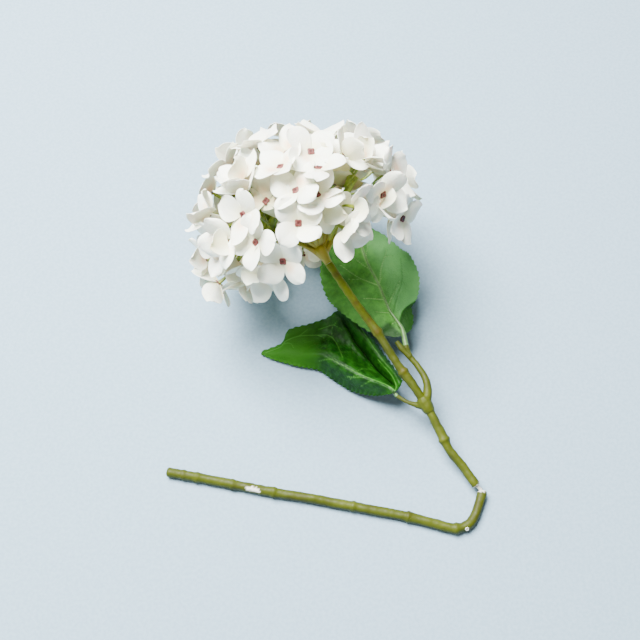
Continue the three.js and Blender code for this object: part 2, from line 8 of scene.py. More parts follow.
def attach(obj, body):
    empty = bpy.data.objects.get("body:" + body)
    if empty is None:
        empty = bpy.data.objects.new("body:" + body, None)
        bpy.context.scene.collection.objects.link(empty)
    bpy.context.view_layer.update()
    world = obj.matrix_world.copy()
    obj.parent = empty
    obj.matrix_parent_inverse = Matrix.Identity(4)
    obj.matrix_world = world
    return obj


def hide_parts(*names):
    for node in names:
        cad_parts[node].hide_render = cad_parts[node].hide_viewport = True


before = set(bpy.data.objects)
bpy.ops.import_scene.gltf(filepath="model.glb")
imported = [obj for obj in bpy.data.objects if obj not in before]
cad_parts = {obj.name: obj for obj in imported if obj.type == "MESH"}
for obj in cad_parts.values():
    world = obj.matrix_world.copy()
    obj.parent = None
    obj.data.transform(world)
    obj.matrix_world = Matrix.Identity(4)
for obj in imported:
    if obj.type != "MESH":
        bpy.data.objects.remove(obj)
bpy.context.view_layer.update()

bl_info = {
    "name": "Hydrangea stem",
    "version": (1, 0, 0),
    "blender": (4, 5, 0),
    "location": "3D View > Sidebar > Hydrangea",
    "description": "Builds an artificial hydrangea of cloth and moulded plastic, and its table",
    "category": "Add Mesh",
}

MM = 0.001
PER_MM = 1 / MM
# Where the picture is taken from, in the millimetres of the stem's points.
CAMERA_PLACE = (0.0, -291.6, 625.3)

# Where the pieces lie, in millimetres. MIDDLE moves the middle of the footprint to the origin.
MIDDLE = Vector((-3.2, 23.6, 0.0))
LYING = 3.55
# How near the table the petals, the eyes, the spray and the stem's mouldings may come.
PETAL_LOWEST, EYE_LOWEST, SPRAY_LOWEST, STEM_LOWEST = 0.12, 0.05, 0.2, 0.02
LOWER_ROUTE = (
    (-98, -109, LYING), (-79, -112.5, LYING), (-56, -117, LYING), (-29, -122.5, LYING),
    (-1.5, -127, LYING), (21, -131.5, LYING), (55, -138, LYING), (72, -142.5, LYING),
    (84.4, -145.3, LYING), (91.6, -143.8, LYING), (96, -139.6, LYING + 0.1),
    (100, -131, LYING + 0.6), (102.4, -121.8, 5.3),
)
UPPER_ROUTE = (
    (99.2, -119, 7), (90.4, -106.7, 10), (82, -97, 13.5), (77.5, -88, 16.5),
    (72.5, -78.7, 20), (67.8, -70.7, 23), (59.8, -59.5, 28), (52, -50, 32),
    (44, -38.7, 37), (36.8, -28, 41), (28.7, -17.5, 45), (20.3, -7, 49.6),
    (11.4, 5, 55), (5, 14, 58.6), (-1, 23, 62.5),
)
# Radii at the start and end of each coat, and its rings: distances along it.
LOWER_RADII = (3.0, 3.0)
LOWER_RINGS = (11, 20, 43, 70, 121, 156, 187)
UPPER_RADII = (2.9, 2.5)
UPPER_RINGS = (35, 86, 115)
RING_REACH = 1.3
COAT_STEP = 0.9
# How far the coat draws in at an open end, and over what length.
COAT_END_DEPTH, COAT_END_RUN = 0.7, 0.9
WIRE_RADIUS = 1.1
HUB_LENGTH = 13.0
# Distance from the hub's start, and radius, in mm.
HUB_PROFILE = ((0.3, 2.55), (2.0, 2.7), (4.0, 3.1), (6.5, 3.8), (9.0, 4.2), (11.5, 4.0), (13.0, 2.6))
# How far from the hub its orange tinge reaches: the hub's own colour, painted lighter as painted light
# against the head's shade.
HUB_GLOW = 17.0
STALK_RADII = (0.9, 0.75, 0.7, 0.75, 0.8, 1.4)
BRANCH_RADII = (2.2, 1.7, 1.5, 1.4)
# The hub's spokes that show from above: points and radii in mm.
HUB_SPOKES = (
    (((2, 17, 59.5), (-2.6, 19.8, 61), (-8.4, 22.9, 62), (-14.2, 25.3, 63), (-21, 27.5, 66)),
     (2.6, 2.0, 1.6, 1.4, 1.3)),
    (((1, 20, 60.5), (-1.3, 23.7, 62), (-3.9, 28.8, 66), (-8, 34, 71)), (3.0, 2.3, 1.8, 1.4)),
    (((1.5, 19, 60.5), (2.6, 23.7, 62.5), (3.9, 29.5, 66), (5.1, 37, 71)), (3.0, 2.3, 1.8, 1.4)),
    (((2.5, 18, 60), (7.7, 26.9, 64), (11, 35, 69)), (2.4, 1.7, 1.3)),
    (((6.0, 25.6, 68), (9.8, 26.2, 90), (12.8, 29.2, 104), (16.8, 36.9, 113), (18.7, 43.5, 117)),
     (1.8, 2.2, 2.2, 2.8, 1.9)),
    (((12.8, 29.2, 104), (16.5, 34, 112), (22, 41, 116)), (2.0, 2.4, 1.5)),
    (((-21, 27.5, 66), (-27, 23, 76), (-31, 14, 86)), (1.4, 2.2, 2.0)),
    (((-31, 12, 86), (-34, 19, 95), (-38, 29, 105)), (2.2, 2.4, 1.9)),
    (((-31, 13, 87), (-30.5, 18.6, 96), (-26, 25, 101)), (2.2, 2.3, 1.7)),
    (((-27, 23, 76), (-30, 24, 92), (-34, 27.5, 103)), (2.4, 2.2, 1.8)),
    (((-22, 20, 78), (-26, 17, 90), (-24.5, 15, 97)), (2.2, 2.1, 1.9)),
    (((-31, 14, 84), (-36, 21, 90), (-37, 22, 98)), (2.0, 2.2, 2.0)),
    (((-28, 15, 84), (-29, 20, 92), (-27, 23, 99)), (2.0, 2.4, 2.0)),
)
BRANCH_ROUTE = (
    (67.8, -69, 23.5), (69, -60.5, 26), (66.8, -52, 27), (62.5, -45, 27.5),
    (57.8, -38, 28), (55.9, -31.5, 28.2),
)
STUB_ROUTE = ((58.6, -39.5, 28.5), (54, -35.5, 30), (49.5, -30, 31.5))
# The collar's sleeve: share of its half length from its middle, and radius.
SLEEVE_HALF = 5.5
SLEEVE_PROFILE = ((-1, 3.1), (-0.85, 3.5), (-0.5, 4.1), (0, 4.3), (0.5, 4.3), (0.9, 3.8), (1.1, 3.1))
COLLAR_VOXEL = 0.42
LEAF_STALK_ROUTE = ((67.5, -72, 23), (61.5, -70.2, 22), (55.8, -67.4, 20.2), (49.8, -63, 18.6))
# Radii along the collar's branch, its stub and the second leaf's stalk.
COLLAR_BRANCH_RADII = (3.3, 3.1, 2.5, 2.2, 2.0, 2.0, 2.2)
STUB_RADII = (2.3, 1.9, 2.1, 1.5)
LEAF_STALK_RADII = (2.8, 1.8, 1.35, 1.45)

# The head is an ellipsoid of florets whose crown points away from the stem.
HEAD_CENTRE = Vector((-9.7, 40.4, 72.5))
CROWN_TURN = 15.0
CROWN_RISE = 21.0
DOME_ACROSS = 70.0
DOME_ALONG = 52.0
GOLDEN_ANGLE = 137.5
DOME_PLACES = 52
DOME_EDGE = 114.0
BACK_PLACES = 110
BACK_AROUND = (70.0, 265.0)
BACK_DOWN = (12.0, 125.0)
BACK_SPACING = 12.0
# How deep both lie, as shares of the dome's.
SPIRAL_DEPTH, BACK_DEPTH = 0.94, 0.8
FLORET_SPACING = 24.5
# No florets grow where the first leaf lies: from, to (round the head), and below.
LEAF_GAP = (92.0, 152.0, 78.0)
CUP_HEIGHT = 5.0
CUP_START = 3.0
FLORET_REACH = 16.4
CLUSTER_DEPTH = 0.5
# Round the head, down from the crown, depth, lean round, lean down, spin.
UPPER_SIDE_SEATS = (
    (-11, 106, 1.06, 22, -15, 60), (-8, 87, 1.02, -19, -26, 48), (1, 92, 0.975, -7, -29, 30),
    (5, 76, 1.02, -5, -22, 25), (4, 63, 1.03, 2, 19, 56), (-13, 68, 1, -5, -17, 63),
    (-36, 91, 1, -10, 5, 38), (-34, 110, 1.03, -16, -25, 15), (-25, 126, 1.05, -9, -24, 59),
    (36, 98, 1, -8, 30, 21), (55, 114, 1, -13, -2, 57), (19, 104, 1, 20, 7, 2),
    (13, 117, 0.98, 18, 6, 38), (-30, 39, 0.98, -3, -7, 1), (-100, 26, 0.99, -20, 3, 35),
    (-35, 68, 1, 3, -21, 32), (-34, 75, 0.95, -10, -30, 81), (33, 72, 1, 2, -5, 4),
    (23, 65, 0.96, 29, 18, 44), (49, 84, 0.97, 0, 13, 55), (-51, 103, 1.02, 3, -10, 4),
    (-58, 82, 1, -7, -12, 57), (-62, 102, 0.97, -9, -2, 15), (-94, 105, 0.99, -2, -19, 85),
    (-92, 122, 1.06, -14, -14, 20), (-47, 136, 0.97, -7, -18, 58), (-26, 85, 0.86, -9, -14, 10),
    (38, 71, 0.88, 10, 13, 21), (39, 102, 0.88, 12, -4, 32), (5, 99, 0.85, 36, 29, 6),
)
TABLE_SEATS = (
    (180, 106, 1.04, 0, -4, 45), (195, 87, 1.07, -15, 14, 20), (165, 87, 1.07, 15, 14, 70),
)
# Shorter florets that fill the gaps behind the outer ones
INNER_SEATS = (
    (-70, 118, 0.86, 5, 8, 20), (-55, 128, 0.9, -10, 5, 70), (-86, 134, 0.92, 8, 0, 35),
    (-60, 92, 0.86, 0, 10, 5), (-93, 102, 0.86, 5, 10, 50), (-8, 50, 0.9, 0, 10, 25),
    (12, 66, 0.88, 0, 0, 60), (-40, 60, 0.9, 0, 0, 10), (28, 72, 0.58, 5, 0, 30),
    (56, 84, 0.8, 0, 0, 15), (60, 100, 0.8, 5, 0, 60),
)
# Florets whose petal nearest the viewer stands up before the eye, and others whose nearer and
# further petals are bent up by some degrees (down if negative).
SHUT_FLORETS = (11, 12, 15, 16, 17, 18, 20, 21, 27, 28, 29, 48, 49, 50, 51, *range(54, 59))
PETAL_BENDS = {26: (-118, 0), 0: (0, 24), 53: (-40, 0)}
CLUSTERS = (
    (-15, 95), (25, 95), (-50, 105), (60, 95), (-80, 85), (-20, 50), (50, 45), (150, 50),
    (-130, 50), (-125, 95), (170, 95),
)

# First leaf: points of its midrib, and its half widths.
LEAF_1_RIB = (
    (55.3, -23.6, 28.2), (51.2, -15.9, 29.5), (46.1, -8.3, 31), (37.9, 12.7, 34),
    (30.8, 28, 35), (27.1, 43.2, 34), (23.3, 59.3, 31.5),
)
LEAF_1_RIGHT = 29.0
LEAF_1_LEFT = 33.0
LEAF_1_DROOP = 5.0
LEAF_THICKNESS = 0.35
LEAF_COLUMNS = 170
LEAF_1_ROWS = 84
LEAF_2_ROWS = 90
LEAF_1_TEETH = 27
LEAF_2_TEETH = 30
# Each rib's radii, and where it runs: shares of the first leaf's midrib and heights over it, and
# shares of the second leaf's length, under its ridge.
LEAF_1_RIB_RADII = (1.9, 1.45, 0.95, 0.65, 0.5, 0.42, 0.36, 0.3)
LEAF_1_RIB_LIFTS = ((0.04, 1.7), (0.12, 1.2), (0.2, 0.9), (0.4, 0.6), (0.6, 0.5), (0.8, 0.4))
LEAF_2_RIB_RADII = (1.3, 1.1, 0.9, 0.8, 0.6, 0.4)
LEAF_2_RIB_SHARES = (0.08, 0.2, 0.4, 0.6)
LEAF_2_RIB_DROP = 2.4
# Second leaf: both edges from the stalk to the tip.
LEAF_2_NEAR_EDGE = (
    (46.2, -62.4, 21.8), (36.8, -59.8, 12), (21.9, -53.7, 4), (8.7, -44.9, 3),
    (-1.3, -38, 3), (-15.5, -35.2, 3), (-33.1, -29.5, 2.5), (-40, -25.9, 2),
)
LEAF_2_FAR_EDGE = (
    (50.6, -59.2, 22.6), (53, -51.8, 18), (48.2, -41.8, 15), (42.6, -32, 12),
    (34.8, -20.5, 14), (27.5, -11.6, 16), (20.2, -3.9, 17), (12, 0.4, 13), (5.4, -2.7, 9),
    (-8.1, -7.9, 9), (-21.7, -12, 8), (-25.7, -19.7, 5.5), (-39.4, -24.6, 2),
)
# Where its ridge and its folded side lie, as (share of the length, share of the width).
LEAF_2_RIDGE = ((0, 0.4), (0.1, 0.3), (0.3, 0.22), (0.5, 0.17), (0.68, 0.22), (1, 0.4))
LEAF_2_FOLD = ((0, 0.62), (0.15, 0.66), (0.3, 0.71), (0.42, 0.75), (0.5, 0.84), (0.6, 1.02), (1, 1.3))
LEAF_2_RIDGE_HEIGHT = 11.0
LEAF_2_CREST_HEIGHT = 1.1
LEAF_2_FOLD_DEPTH = 2.6
LEAF_2_ROLL_HEIGHT = 4.5
# A hollow beside the ridge: share of the width, its spread, and its depth in mm.
LEAF_2_HOLLOW = (0.62, 0.2, 5.0)

# Veins: half width in mm, then (share of the length, share of the width) points.
LEAF_1_VEINS = (
    (0.5, ((0.41, 0), (0.52, -0.25), (0.6, -0.4), (0.67, -0.58))),
    (0.45, ((0.3, 0), (0.35, -0.33), (0.36, -0.42))),
    (0.4, ((0.19, 0), (0.24, -0.36))),
    (0.4, ((0.11, 0), (0.12, -0.3))),
    (0.35, ((0.55, 0), (0.66, -0.18), (0.72, -0.3))),
    (0.45, ((0.41, 0), (0.52, 0.2), (0.62, 0.45), (0.7, 0.62))),
    (0.35, ((0.44, 0.03), (0.5, 0.28))),
    (0.35, ((0.64, 0), (0.74, 0.15), (0.82, 0.3))),
    (0.35, ((0.24, 0), (0.33, 0.3), (0.4, 0.5))),
    (0.3, ((0.52, -0.25), (0.56, -0.48))),
    (0.3, ((0.62, 0.45), (0.6, 0.66))),
)
LEAF_1_CREASE = ((0.8, ((0.18, 0.12), (0.3, 0.4), (0.42, 0.6), (0.56, 0.78))),)
LEAF_2_VEINS = (
    (0.55, ((0, 0.5), (0.08, 0.33), (0.2, 0.27), (0.4, 0.2), (0.56, 0.17))),
    (0.5, ((0.45, 0.3), (0.5, 0.45), (0.56, 0.58), (0.66, 0.7), (0.76, 0.76), (0.86, 0.72), (0.97, 0.5))),
    (0.35, ((0, 0.5), (0.07, 0.7), (0.15, 0.78), (0.25, 0.8))),
    (0.35, ((0.38, 0.1), (0.3, 0.17), (0.24, 0.26))),
    (0.3, ((0.66, 0.82), (0.56, 0.78), (0.5, 0.74))),
    (0.3, ((0.56, 0.58), (0.57, 0.75), (0.55, 0.85))),
    (0.3, ((0.47, 0.4), (0.42, 0.55), (0.43, 0.68))),
    (0.35, ((0.5, 0.18), (0.6, 0.08))),
    (0.3, ((0.3, 0.25), (0.36, 0.08))),
    (0.3, ((0.2, 0.27), (0.27, 0.08))),
    (0.35, ((0.76, 0.76), (0.72, 0.9))),
    (0.35, ((0.66, 0.7), (0.62, 0.62), (0.6, 0.48))),
    (0.35, ((0.45, 0.97), (0.3, 0.88), (0.15, 0.85))),
    (0.3, ((0.86, 0.72), (0.8, 0.55), (0.78, 0.4))),
    (0.3, ((0.33, 0.24), (0.3, 0.42), (0.26, 0.56))),
)

# Moulding steps of the stem: distance from the cut end, height, and run of the taper, in mm.
STEM_LIPS = ((259, 0.5, 14), (309.5, 0.45, -12), (339.5, 0.4, 10), (19, 0.3, -9), (156, 0.3, 12))
# Lumps on the stem: place, reach and height in mm.
STEM_LUMPS = (
    ((84.4, -147, 6), 3.2, 0.55), ((93.3, -143.5, 6.4), 3.0, 0.5), ((-29.7, -121, 7), 3.5, 0.6),
    ((-54.7, -119, 6.6), 2.4, 0.4), ((35.5, -26.5, 43.5), 3.0, 0.55), ((38.6, -29, 42), 2.4, 0.4),
    ((53.5, -50, 34), 2.6, 0.45), ((78, -92, 18), 2.8, 0.4), ((15.3, -0.3, 54.6), 2.4, 0.3),
    ((60.5, -60, 30), 2.2, 0.3), ((-4, -126, 6.5), 2.6, 0.35),
)
# Red-brown stains on the stem: place and reach in mm.
STEM_STAINS = (
    ((10.4, 5.5, 57), 2.6), ((23, -11.5, 50.4), 2.0), ((36.6, -28.5, 43.6), 2.2),
    ((31.5, -21.5, 46), 1.5), ((53, -51.5, 33.6), 1.8),
)
# The scrape: its place, and how far it runs along and across the stem. The torn ends at the kink:
# along, across, and how ragged.
STEM_SCRAPE = ((-42.4, -121.8, 6.6), 6.5, 2.2)
LOWER_TEAR = (1.6, 3.2, 0.2)
UPPER_TEAR = (1.4, 3.2, 0.2)
# A small torn hole: its place, the radius of its rim, and the rim's own.
STEM_HOLE = (91.6, -146.3, 5.5)
HOLE_RADIUS, HOLE_RIM = 0.95, 0.3
HOLE_TURN = (math.radians(42), math.radians(8), 0)
# The stem turns yellower from this distance from its cut end, over this run, and is painted lighter there
# as painted light against the head's shadow.
WARM_FROM, WARM_RUN = 330.0, 40.0


class Route:
    """A smooth centripetal curve through points, read by distance along it."""

    def __init__(self, points, steps=40):
        self.points = [Vector(p) for p in points]
        last = len(self.points) - 1
        self.dense = [self.at(k / (last * steps)) for k in range(last * steps + 1)]
        self.steps = steps
        self.lengths = [0.0]
        for a, b in zip(self.dense, self.dense[1:]):
            self.lengths.append(self.lengths[-1] + (b - a).length)
        self.length = self.lengths[-1]

    def at(self, share):
        points = self.points
        place = share * (len(points) - 1)
        low = min(int(place), len(points) - 2)
        weight = place - low
        b, c = points[low], points[low + 1]
        a = points[low - 1] if low > 0 else b * 2 - c
        d = points[low + 2] if low + 2 < len(points) else c * 2 - b
        before, between, after = (max((q - p).length, 1e-6) ** 0.5 for p, q in ((a, b), (b, c), (c, d)))
        leave = ((b - a) / before - (c - a) / (before + between) + (c - b) / between) * between
        reach = ((c - b) / between - (d - b) / (between + after) + (d - c) / after) * between
        square = c * 3 - b * 3 - leave * 2 - reach
        cube = b * 2 - c * 2 + leave + reach
        return b + leave * weight + square * weight ** 2 + cube * weight ** 3

    def by_length(self, distance):
        distance = min(max(distance, 0.0), self.length)
        low, high = 0, len(self.lengths) - 1
        while high - low > 1:
            middle = (low + high) // 2
            if self.lengths[middle] <= distance:
                low = middle
            else:
                high = middle
        span = self.lengths[high] - self.lengths[low] or 1.0
        return self.dense[low].lerp(self.dense[high], (distance - self.lengths[low]) / span)

    def share(self, share):
        return self.by_length(share * self.length)

    def tangent(self, distance):
        return (self.by_length(distance + 0.2) - self.by_length(distance - 0.2)).normalized()

    def distance_of(self, index):
        return self.lengths[index * self.steps]


STEM = Route(LOWER_ROUTE + UPPER_ROUTE)
LOWER_END = STEM.distance_of(len(LOWER_ROUTE) - 1)
UPPER_START = STEM.distance_of(len(LOWER_ROUTE))
HUB_START = STEM.length - HUB_LENGTH


# Objects and meshes

def deselect():
    """Selects nothing, in object mode."""
    if bpy.context.object and bpy.context.object.mode != "OBJECT":
        bpy.ops.object.mode_set(mode="OBJECT")
    bpy.ops.object.select_all(action="DESELECT")


def make_active(piece):
    deselect()
    piece.select_set(True)
    bpy.context.view_layer.objects.active = piece


def apply_place(piece):
    """Puts a piece's place and turn into its mesh."""
    make_active(piece)
    bpy.ops.object.transform_apply(location=True, rotation=True, scale=True)


def apply_modifier(piece, kind, **settings):
    """Adds a modifier and applies it."""
    make_active(piece)
    modifier = piece.modifiers.new(kind.title(), kind)
    for name, value in settings.items():
        setattr(modifier, name, value)
    bpy.ops.object.modifier_apply(modifier=modifier.name)


def join(pieces, name):
    """Makes one piece of several."""
    deselect()
    for piece in pieces:
        piece.select_set(True)
    bpy.context.view_layer.objects.active = pieces[0]
    if len(pieces) > 1:
        bpy.ops.object.join()
    whole = bpy.context.object
    whole.name = name
    whole.data.name = name
    return whole


def finish_piece(piece, material, node, angle=60.0):
    """Shades a piece smooth up to an angle, gives it its material, puts it on the root body, and hides
    the CAD part of that node.
    """
    make_active(piece)
    bpy.ops.object.shade_smooth_by_angle(angle=math.radians(angle))
    piece.data.materials.clear()
    piece.data.materials.append(material)
    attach(piece, "root")
    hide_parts(node)


def tube(name, stations, sides=16):
    """A round tube through (point in mm, radius in mm) stations, closed at both ends."""
    deselect()
    bpy.ops.curve.primitive_bezier_curve_add(location=(0, 0, 0))
    curve = bpy.context.object
    data = curve.data
    data.splines.clear()
    spline = data.splines.new("POLY")
    spline.points.add(len(stations) - 1)
    for spot, (point, radius) in zip(spline.points, stations):
        spot.co = (*((point + MIDDLE) * MM), 1.0)
        spot.radius = radius
    data.dimensions = "3D"
    data.twist_mode = "MINIMUM"
    data.bevel_depth = MM
    data.bevel_resolution = max(0, sides // 4 - 1)
    data.use_fill_caps = True
    make_active(curve)
    bpy.ops.object.convert(target="MESH")
    piece = bpy.context.object
    piece.name = name
    piece.data.name = name
    bpy.ops.object.mode_set(mode="EDIT")
    bpy.ops.mesh.select_all(action="SELECT")
    bpy.ops.mesh.remove_doubles(threshold=0.00002)
    bpy.ops.mesh.normals_make_consistent(inside=False)
    bpy.ops.object.mode_set(mode="OBJECT")
    return piece


def tapered(name, curve, radii, count, sides):
    """A tube along a curve, with its radii (mm) spread evenly over its length."""
    stations = []
    for i in range(count):
        share = i / (count - 1)
        place = share * (len(radii) - 1)
        low = min(int(place), len(radii) - 2)
        radius = radii[low] + (radii[low + 1] - radii[low]) * (place - low)
        stations.append((curve.share(share), radius))
    return tube(name, stations, sides)


def own_copy(piece):
    """A copy with a mesh of its own."""
    copy = piece.copy()
    copy.data = piece.data.copy()
    bpy.context.collection.objects.link(copy)
    return copy


def new_marks(mesh, *names):
    """Gives a mesh's points new values that its material reads, and returns them by name."""
    for name in names:
        mesh.attributes.new(name, "FLOAT", "POINT")
    return [mesh.attributes[name].data for name in names]


def grid(name, columns, rows):
    """A flat grid of one metre, with its uv map, ready to be shaped."""
    deselect()
    bpy.ops.mesh.primitive_grid_add(
        x_subdivisions=columns, y_subdivisions=rows, size=1.0, calc_uvs=True, location=(0, 0, 0)
    )
    piece = bpy.context.object
    piece.name = name
    return piece


# Materials

# How rough the coat of the leaf cloth is on its two faces, and how much it mirrors.
BACK_GLOSS, BACK_SHINE = 0.6, 0.3
FRONT_GLOSS, FRONT_SHINE = 0.42, 0.14


def linear(text):
    """An sRGB hex colour as the linear values that Blender works in."""
    values = [int(text[i:i + 2], 16) / 255 for i in (1, 3, 5)]
    return tuple(v / 12.92 if v <= 0.04045 else ((v + 0.055) / 1.055) ** 2.4 for v in values) + (1.0,)


def add_node(tree, kind, inputs=None, stops=(), **settings):
    """Adds a node. An input takes a value or the socket that feeds it; stops fill a colour ramp."""
    node = tree.nodes.new("ShaderNode" + kind)
    for name, value in settings.items():
        setattr(node, name, value)
    for name, value in (inputs or {}).items():
        if isinstance(value, bpy.types.NodeSocket):
            tree.links.new(value, node.inputs[name])
        else:
            node.inputs[name].default_value = value
    for index, (position, colour) in enumerate(stops):
        elements = node.color_ramp.elements
        element = elements[index] if index < len(elements) else elements.new(position)
        element.position = position
        element.color = colour
    return node


def new_material(name, shader_inputs, *marks):
    """A material with its shader, Object coordinates, and the values that a mesh's marks give."""
    material = bpy.data.materials.new(name)
    material.use_nodes = True
    tree = material.node_tree
    tree.nodes.clear()
    shader = add_node(tree, "BsdfPrincipled", shader_inputs)
    add_node(tree, "OutputMaterial", {"Surface": shader.outputs["BSDF"]})
    place = add_node(tree, "TexCoord").outputs["Object"]
    values = [add_node(tree, "Attribute", attribute_name=mark).outputs["Fac"] for mark in marks]
    return material, tree, shader, place, *values


def finish_surface(tree, shader, colour, layers, height, depth_mm, strength):
    """Lays (where, colour) layers over a ground colour, and raises the surface by its height."""
    for where, above in layers:
        colour = add_node(tree, "Mix", {0: where, 6: colour, 7: above}, data_type="RGBA").outputs[2]
    tree.links.new(colour, shader.inputs["Base Color"])
    relief = add_node(tree, "Bump", {"Height": height, "Strength": strength, "Distance": depth_mm * MM})
    tree.links.new(relief.outputs["Normal"], shader.inputs["Normal"])


def petal_cloth(look):
    """Thin woven polyester, hot-cut and pressed: chalky white, a green-cream tinge at its root."""
    material, tree, shader, place, root, tone, flush, deep = new_material(
        "woven polyester petal cloth", {
            "Roughness": 0.82, "IOR": 1.46, "Specular IOR Level": 0.25, "Sheen Weight": 0.35,
            "Sheen Roughness": 0.5, "Subsurface Weight": 0.1, "Subsurface Scale": 0.002,
        }, "root", "tone", "flush", "deep")
    # Patches of 9 mm are pressed whiter than the rest
    patches = add_node(tree, "TexNoise", {
        "Vector": place, "Scale": PER_MM / 9, "Detail": 2.0,
    }).outputs["Fac"]
    uneven = add_node(tree, "MapRange", {
        "Value": patches, "From Min": 0.3, "From Max": 0.7, "To Min": 0.7, "To Max": 1.15,
    }).outputs["Result"]
    tinge = add_node(tree, "Math", {0: root, 1: uneven}, operation="MULTIPLY").outputs[0]
    whiter = add_node(tree, "MapRange", {
        "Value": patches, "From Min": 0.42, "From Max": 0.62,
    }).outputs["Result"]
    cloth = add_node(
        tree, "ValToRGB", {"Fac": tone}, ((0.0, look.petal_shade), (1.0, look.petal))
    ).outputs["Color"]
    # A petal of 15 by 17 mm is pressed with creases 7 mm wide and 1.3 mm apart. Threads are 0.3 mm
    # apart, too fine for the picture, so the crinkles are 1.6 mm
    uv = add_node(tree, "TexCoord").outputs["UV"]
    pressed = add_node(tree, "Mapping", {"Vector": uv, "Scale": (2.2, 13.0, 1.0)}).outputs["Vector"]
    creases = add_node(tree, "TexNoise", {
        "Vector": pressed, "Scale": 1.0, "Detail": 2.0,
    }).outputs["Fac"]
    crinkle = add_node(tree, "TexNoise", {
        "Vector": place, "Scale": PER_MM / 1.6, "Detail": 2.0,
    }).outputs["Fac"]
    height = add_node(tree, "Math", {0: creases, 1: crinkle}, operation="ADD").outputs[0]
    # Painted shade, with the green of the stalks' bounce light painted in, deep in the head and near the
    # hub
    layers = (
        (whiter, look.petal), (tinge, look.petal_root),
        (flush, look.petal_flush), (deep, look.petal_deep_shade),
    )
    finish_surface(tree, shader, cloth, layers, height, 0.22, 0.8)
    return material


def floret_eye_plastic(look):
    """Soft moulded polyethylene: dusty rose, dark in the dimple, satin."""
    material, tree, shader, place, dimple = new_material(
        "moulded polyethylene floret eye",
        {"Roughness": 0.5, "IOR": 1.51, "Specular IOR Level": 0.25}, "dimple")
    # The dye is mottled about every millimetre
    patches = add_node(tree, "TexNoise", {
        "Vector": place, "Scale": PER_MM / 1.2, "Detail": 1.0,
    }).outputs["Fac"]
    rose = add_node(
        tree, "ValToRGB", {"Fac": patches}, ((0.35, look.eye), (0.7, look.eye_light))
    ).outputs["Color"]
    finish_surface(tree, shader, rose, ((dimple, look.eye_dark),), patches, 0.1, 0.5)
    return material


def spray_plastic(look):
    """Moulded polyethylene stalks: yellow-green, turning orange-olive at the hub."""
    material, tree, shader, place, hub = new_material(
        "moulded polyethylene spray",
        {"Roughness": 0.45, "IOR": 1.51, "Subsurface Weight": 0.1, "Subsurface Scale": 0.001}, "hub")
    # Where the moulding is thinner, in patches of 3 mm, its green is lighter
    patches = add_node(tree, "TexNoise", {
        "Vector": place, "Scale": PER_MM / 3, "Detail": 3.0,
    }).outputs["Fac"]
    green = add_node(
        tree, "ValToRGB", {"Fac": patches}, ((0.3, look.stalk_dark), (0.7, look.stalk))
    ).outputs["Color"]
    # The hub mark lays the hub's orange-olive, painted lighter as painted light against the head's shade
    finish_surface(tree, shader, green, ((hub, look.hub),), patches, 0.12, 0.5)
    return material


def stem_plastic(look):
    """Soft PVC drawn over wire: dull olive, mottled browner and greener, warmer near the head, where it
    is also painted lighter as painted light.
    """
    material, tree, shader, place, worn, stain, warm = new_material(
        "moulded PVC stem coat",
        {"Roughness": 0.55, "IOR": 1.53, "Specular IOR Level": 0.16}, "worn", "stain", "warm")
    # The dye runs in clouds of 14 mm, with darker specks of 1.4 mm that are duller or glossier too
    broad = add_node(tree, "TexNoise", {
        "Vector": place, "Scale": PER_MM / 14, "Detail": 2.0,
    }).outputs["Fac"]
    fine = add_node(tree, "TexNoise", {
        "Vector": place, "Scale": PER_MM / 1.4, "Detail": 3.0,
    }).outputs["Fac"]
    specks = add_node(tree, "MapRange", {
        "Value": fine, "From Min": 0.58, "From Max": 0.8, "To Min": 0.0, "To Max": 0.45,
    }).outputs["Result"]
    gloss = add_node(tree, "MapRange", {
        "Value": fine, "From Min": 0.3, "From Max": 0.7, "To Min": 0.45, "To Max": 0.65,
    }).outputs["Result"]
    olive = add_node(
        tree, "ValToRGB", {"Fac": broad},
        ((0.3, look.stem_dark), (0.5, look.stem), (0.72, look.stem_light))
    ).outputs["Color"]
    # Near the head the yellower olive is also painted light against the head's shadow
    layers = (
        (specks, look.stem_dark), (warm, look.stem_warm_and_lit),
        (stain, look.stem_stain), (worn, look.stem_worn),
    )
    finish_surface(tree, shader, olive, layers, fine, 0.16, 0.6)
    tree.links.new(gloss, shader.inputs["Roughness"])
    return material


def drawn_wire(look):
    """Drawn steel wire in a pale skin of dried adhesive: dull and whitish."""
    material, tree, shader, place = new_material(
        "drawn steel wire", {"Metallic": 0.5, "Roughness": 0.5})
    # Drawing marks are 0.1 mm apart, too fine for the picture, so the streaks are 0.8 mm
    streaks = add_node(tree, "TexNoise", {
        "Vector": place, "Scale": PER_MM / 0.8, "Detail": 2.0,
    }).outputs["Fac"]
    steel = add_node(
        tree, "ValToRGB", {"Fac": streaks}, ((0.3, look.wire_dark), (0.7, look.wire))
    ).outputs["Color"]
    finish_surface(tree, shader, steel, (), streaks, 0.05, 0.5)
    return material


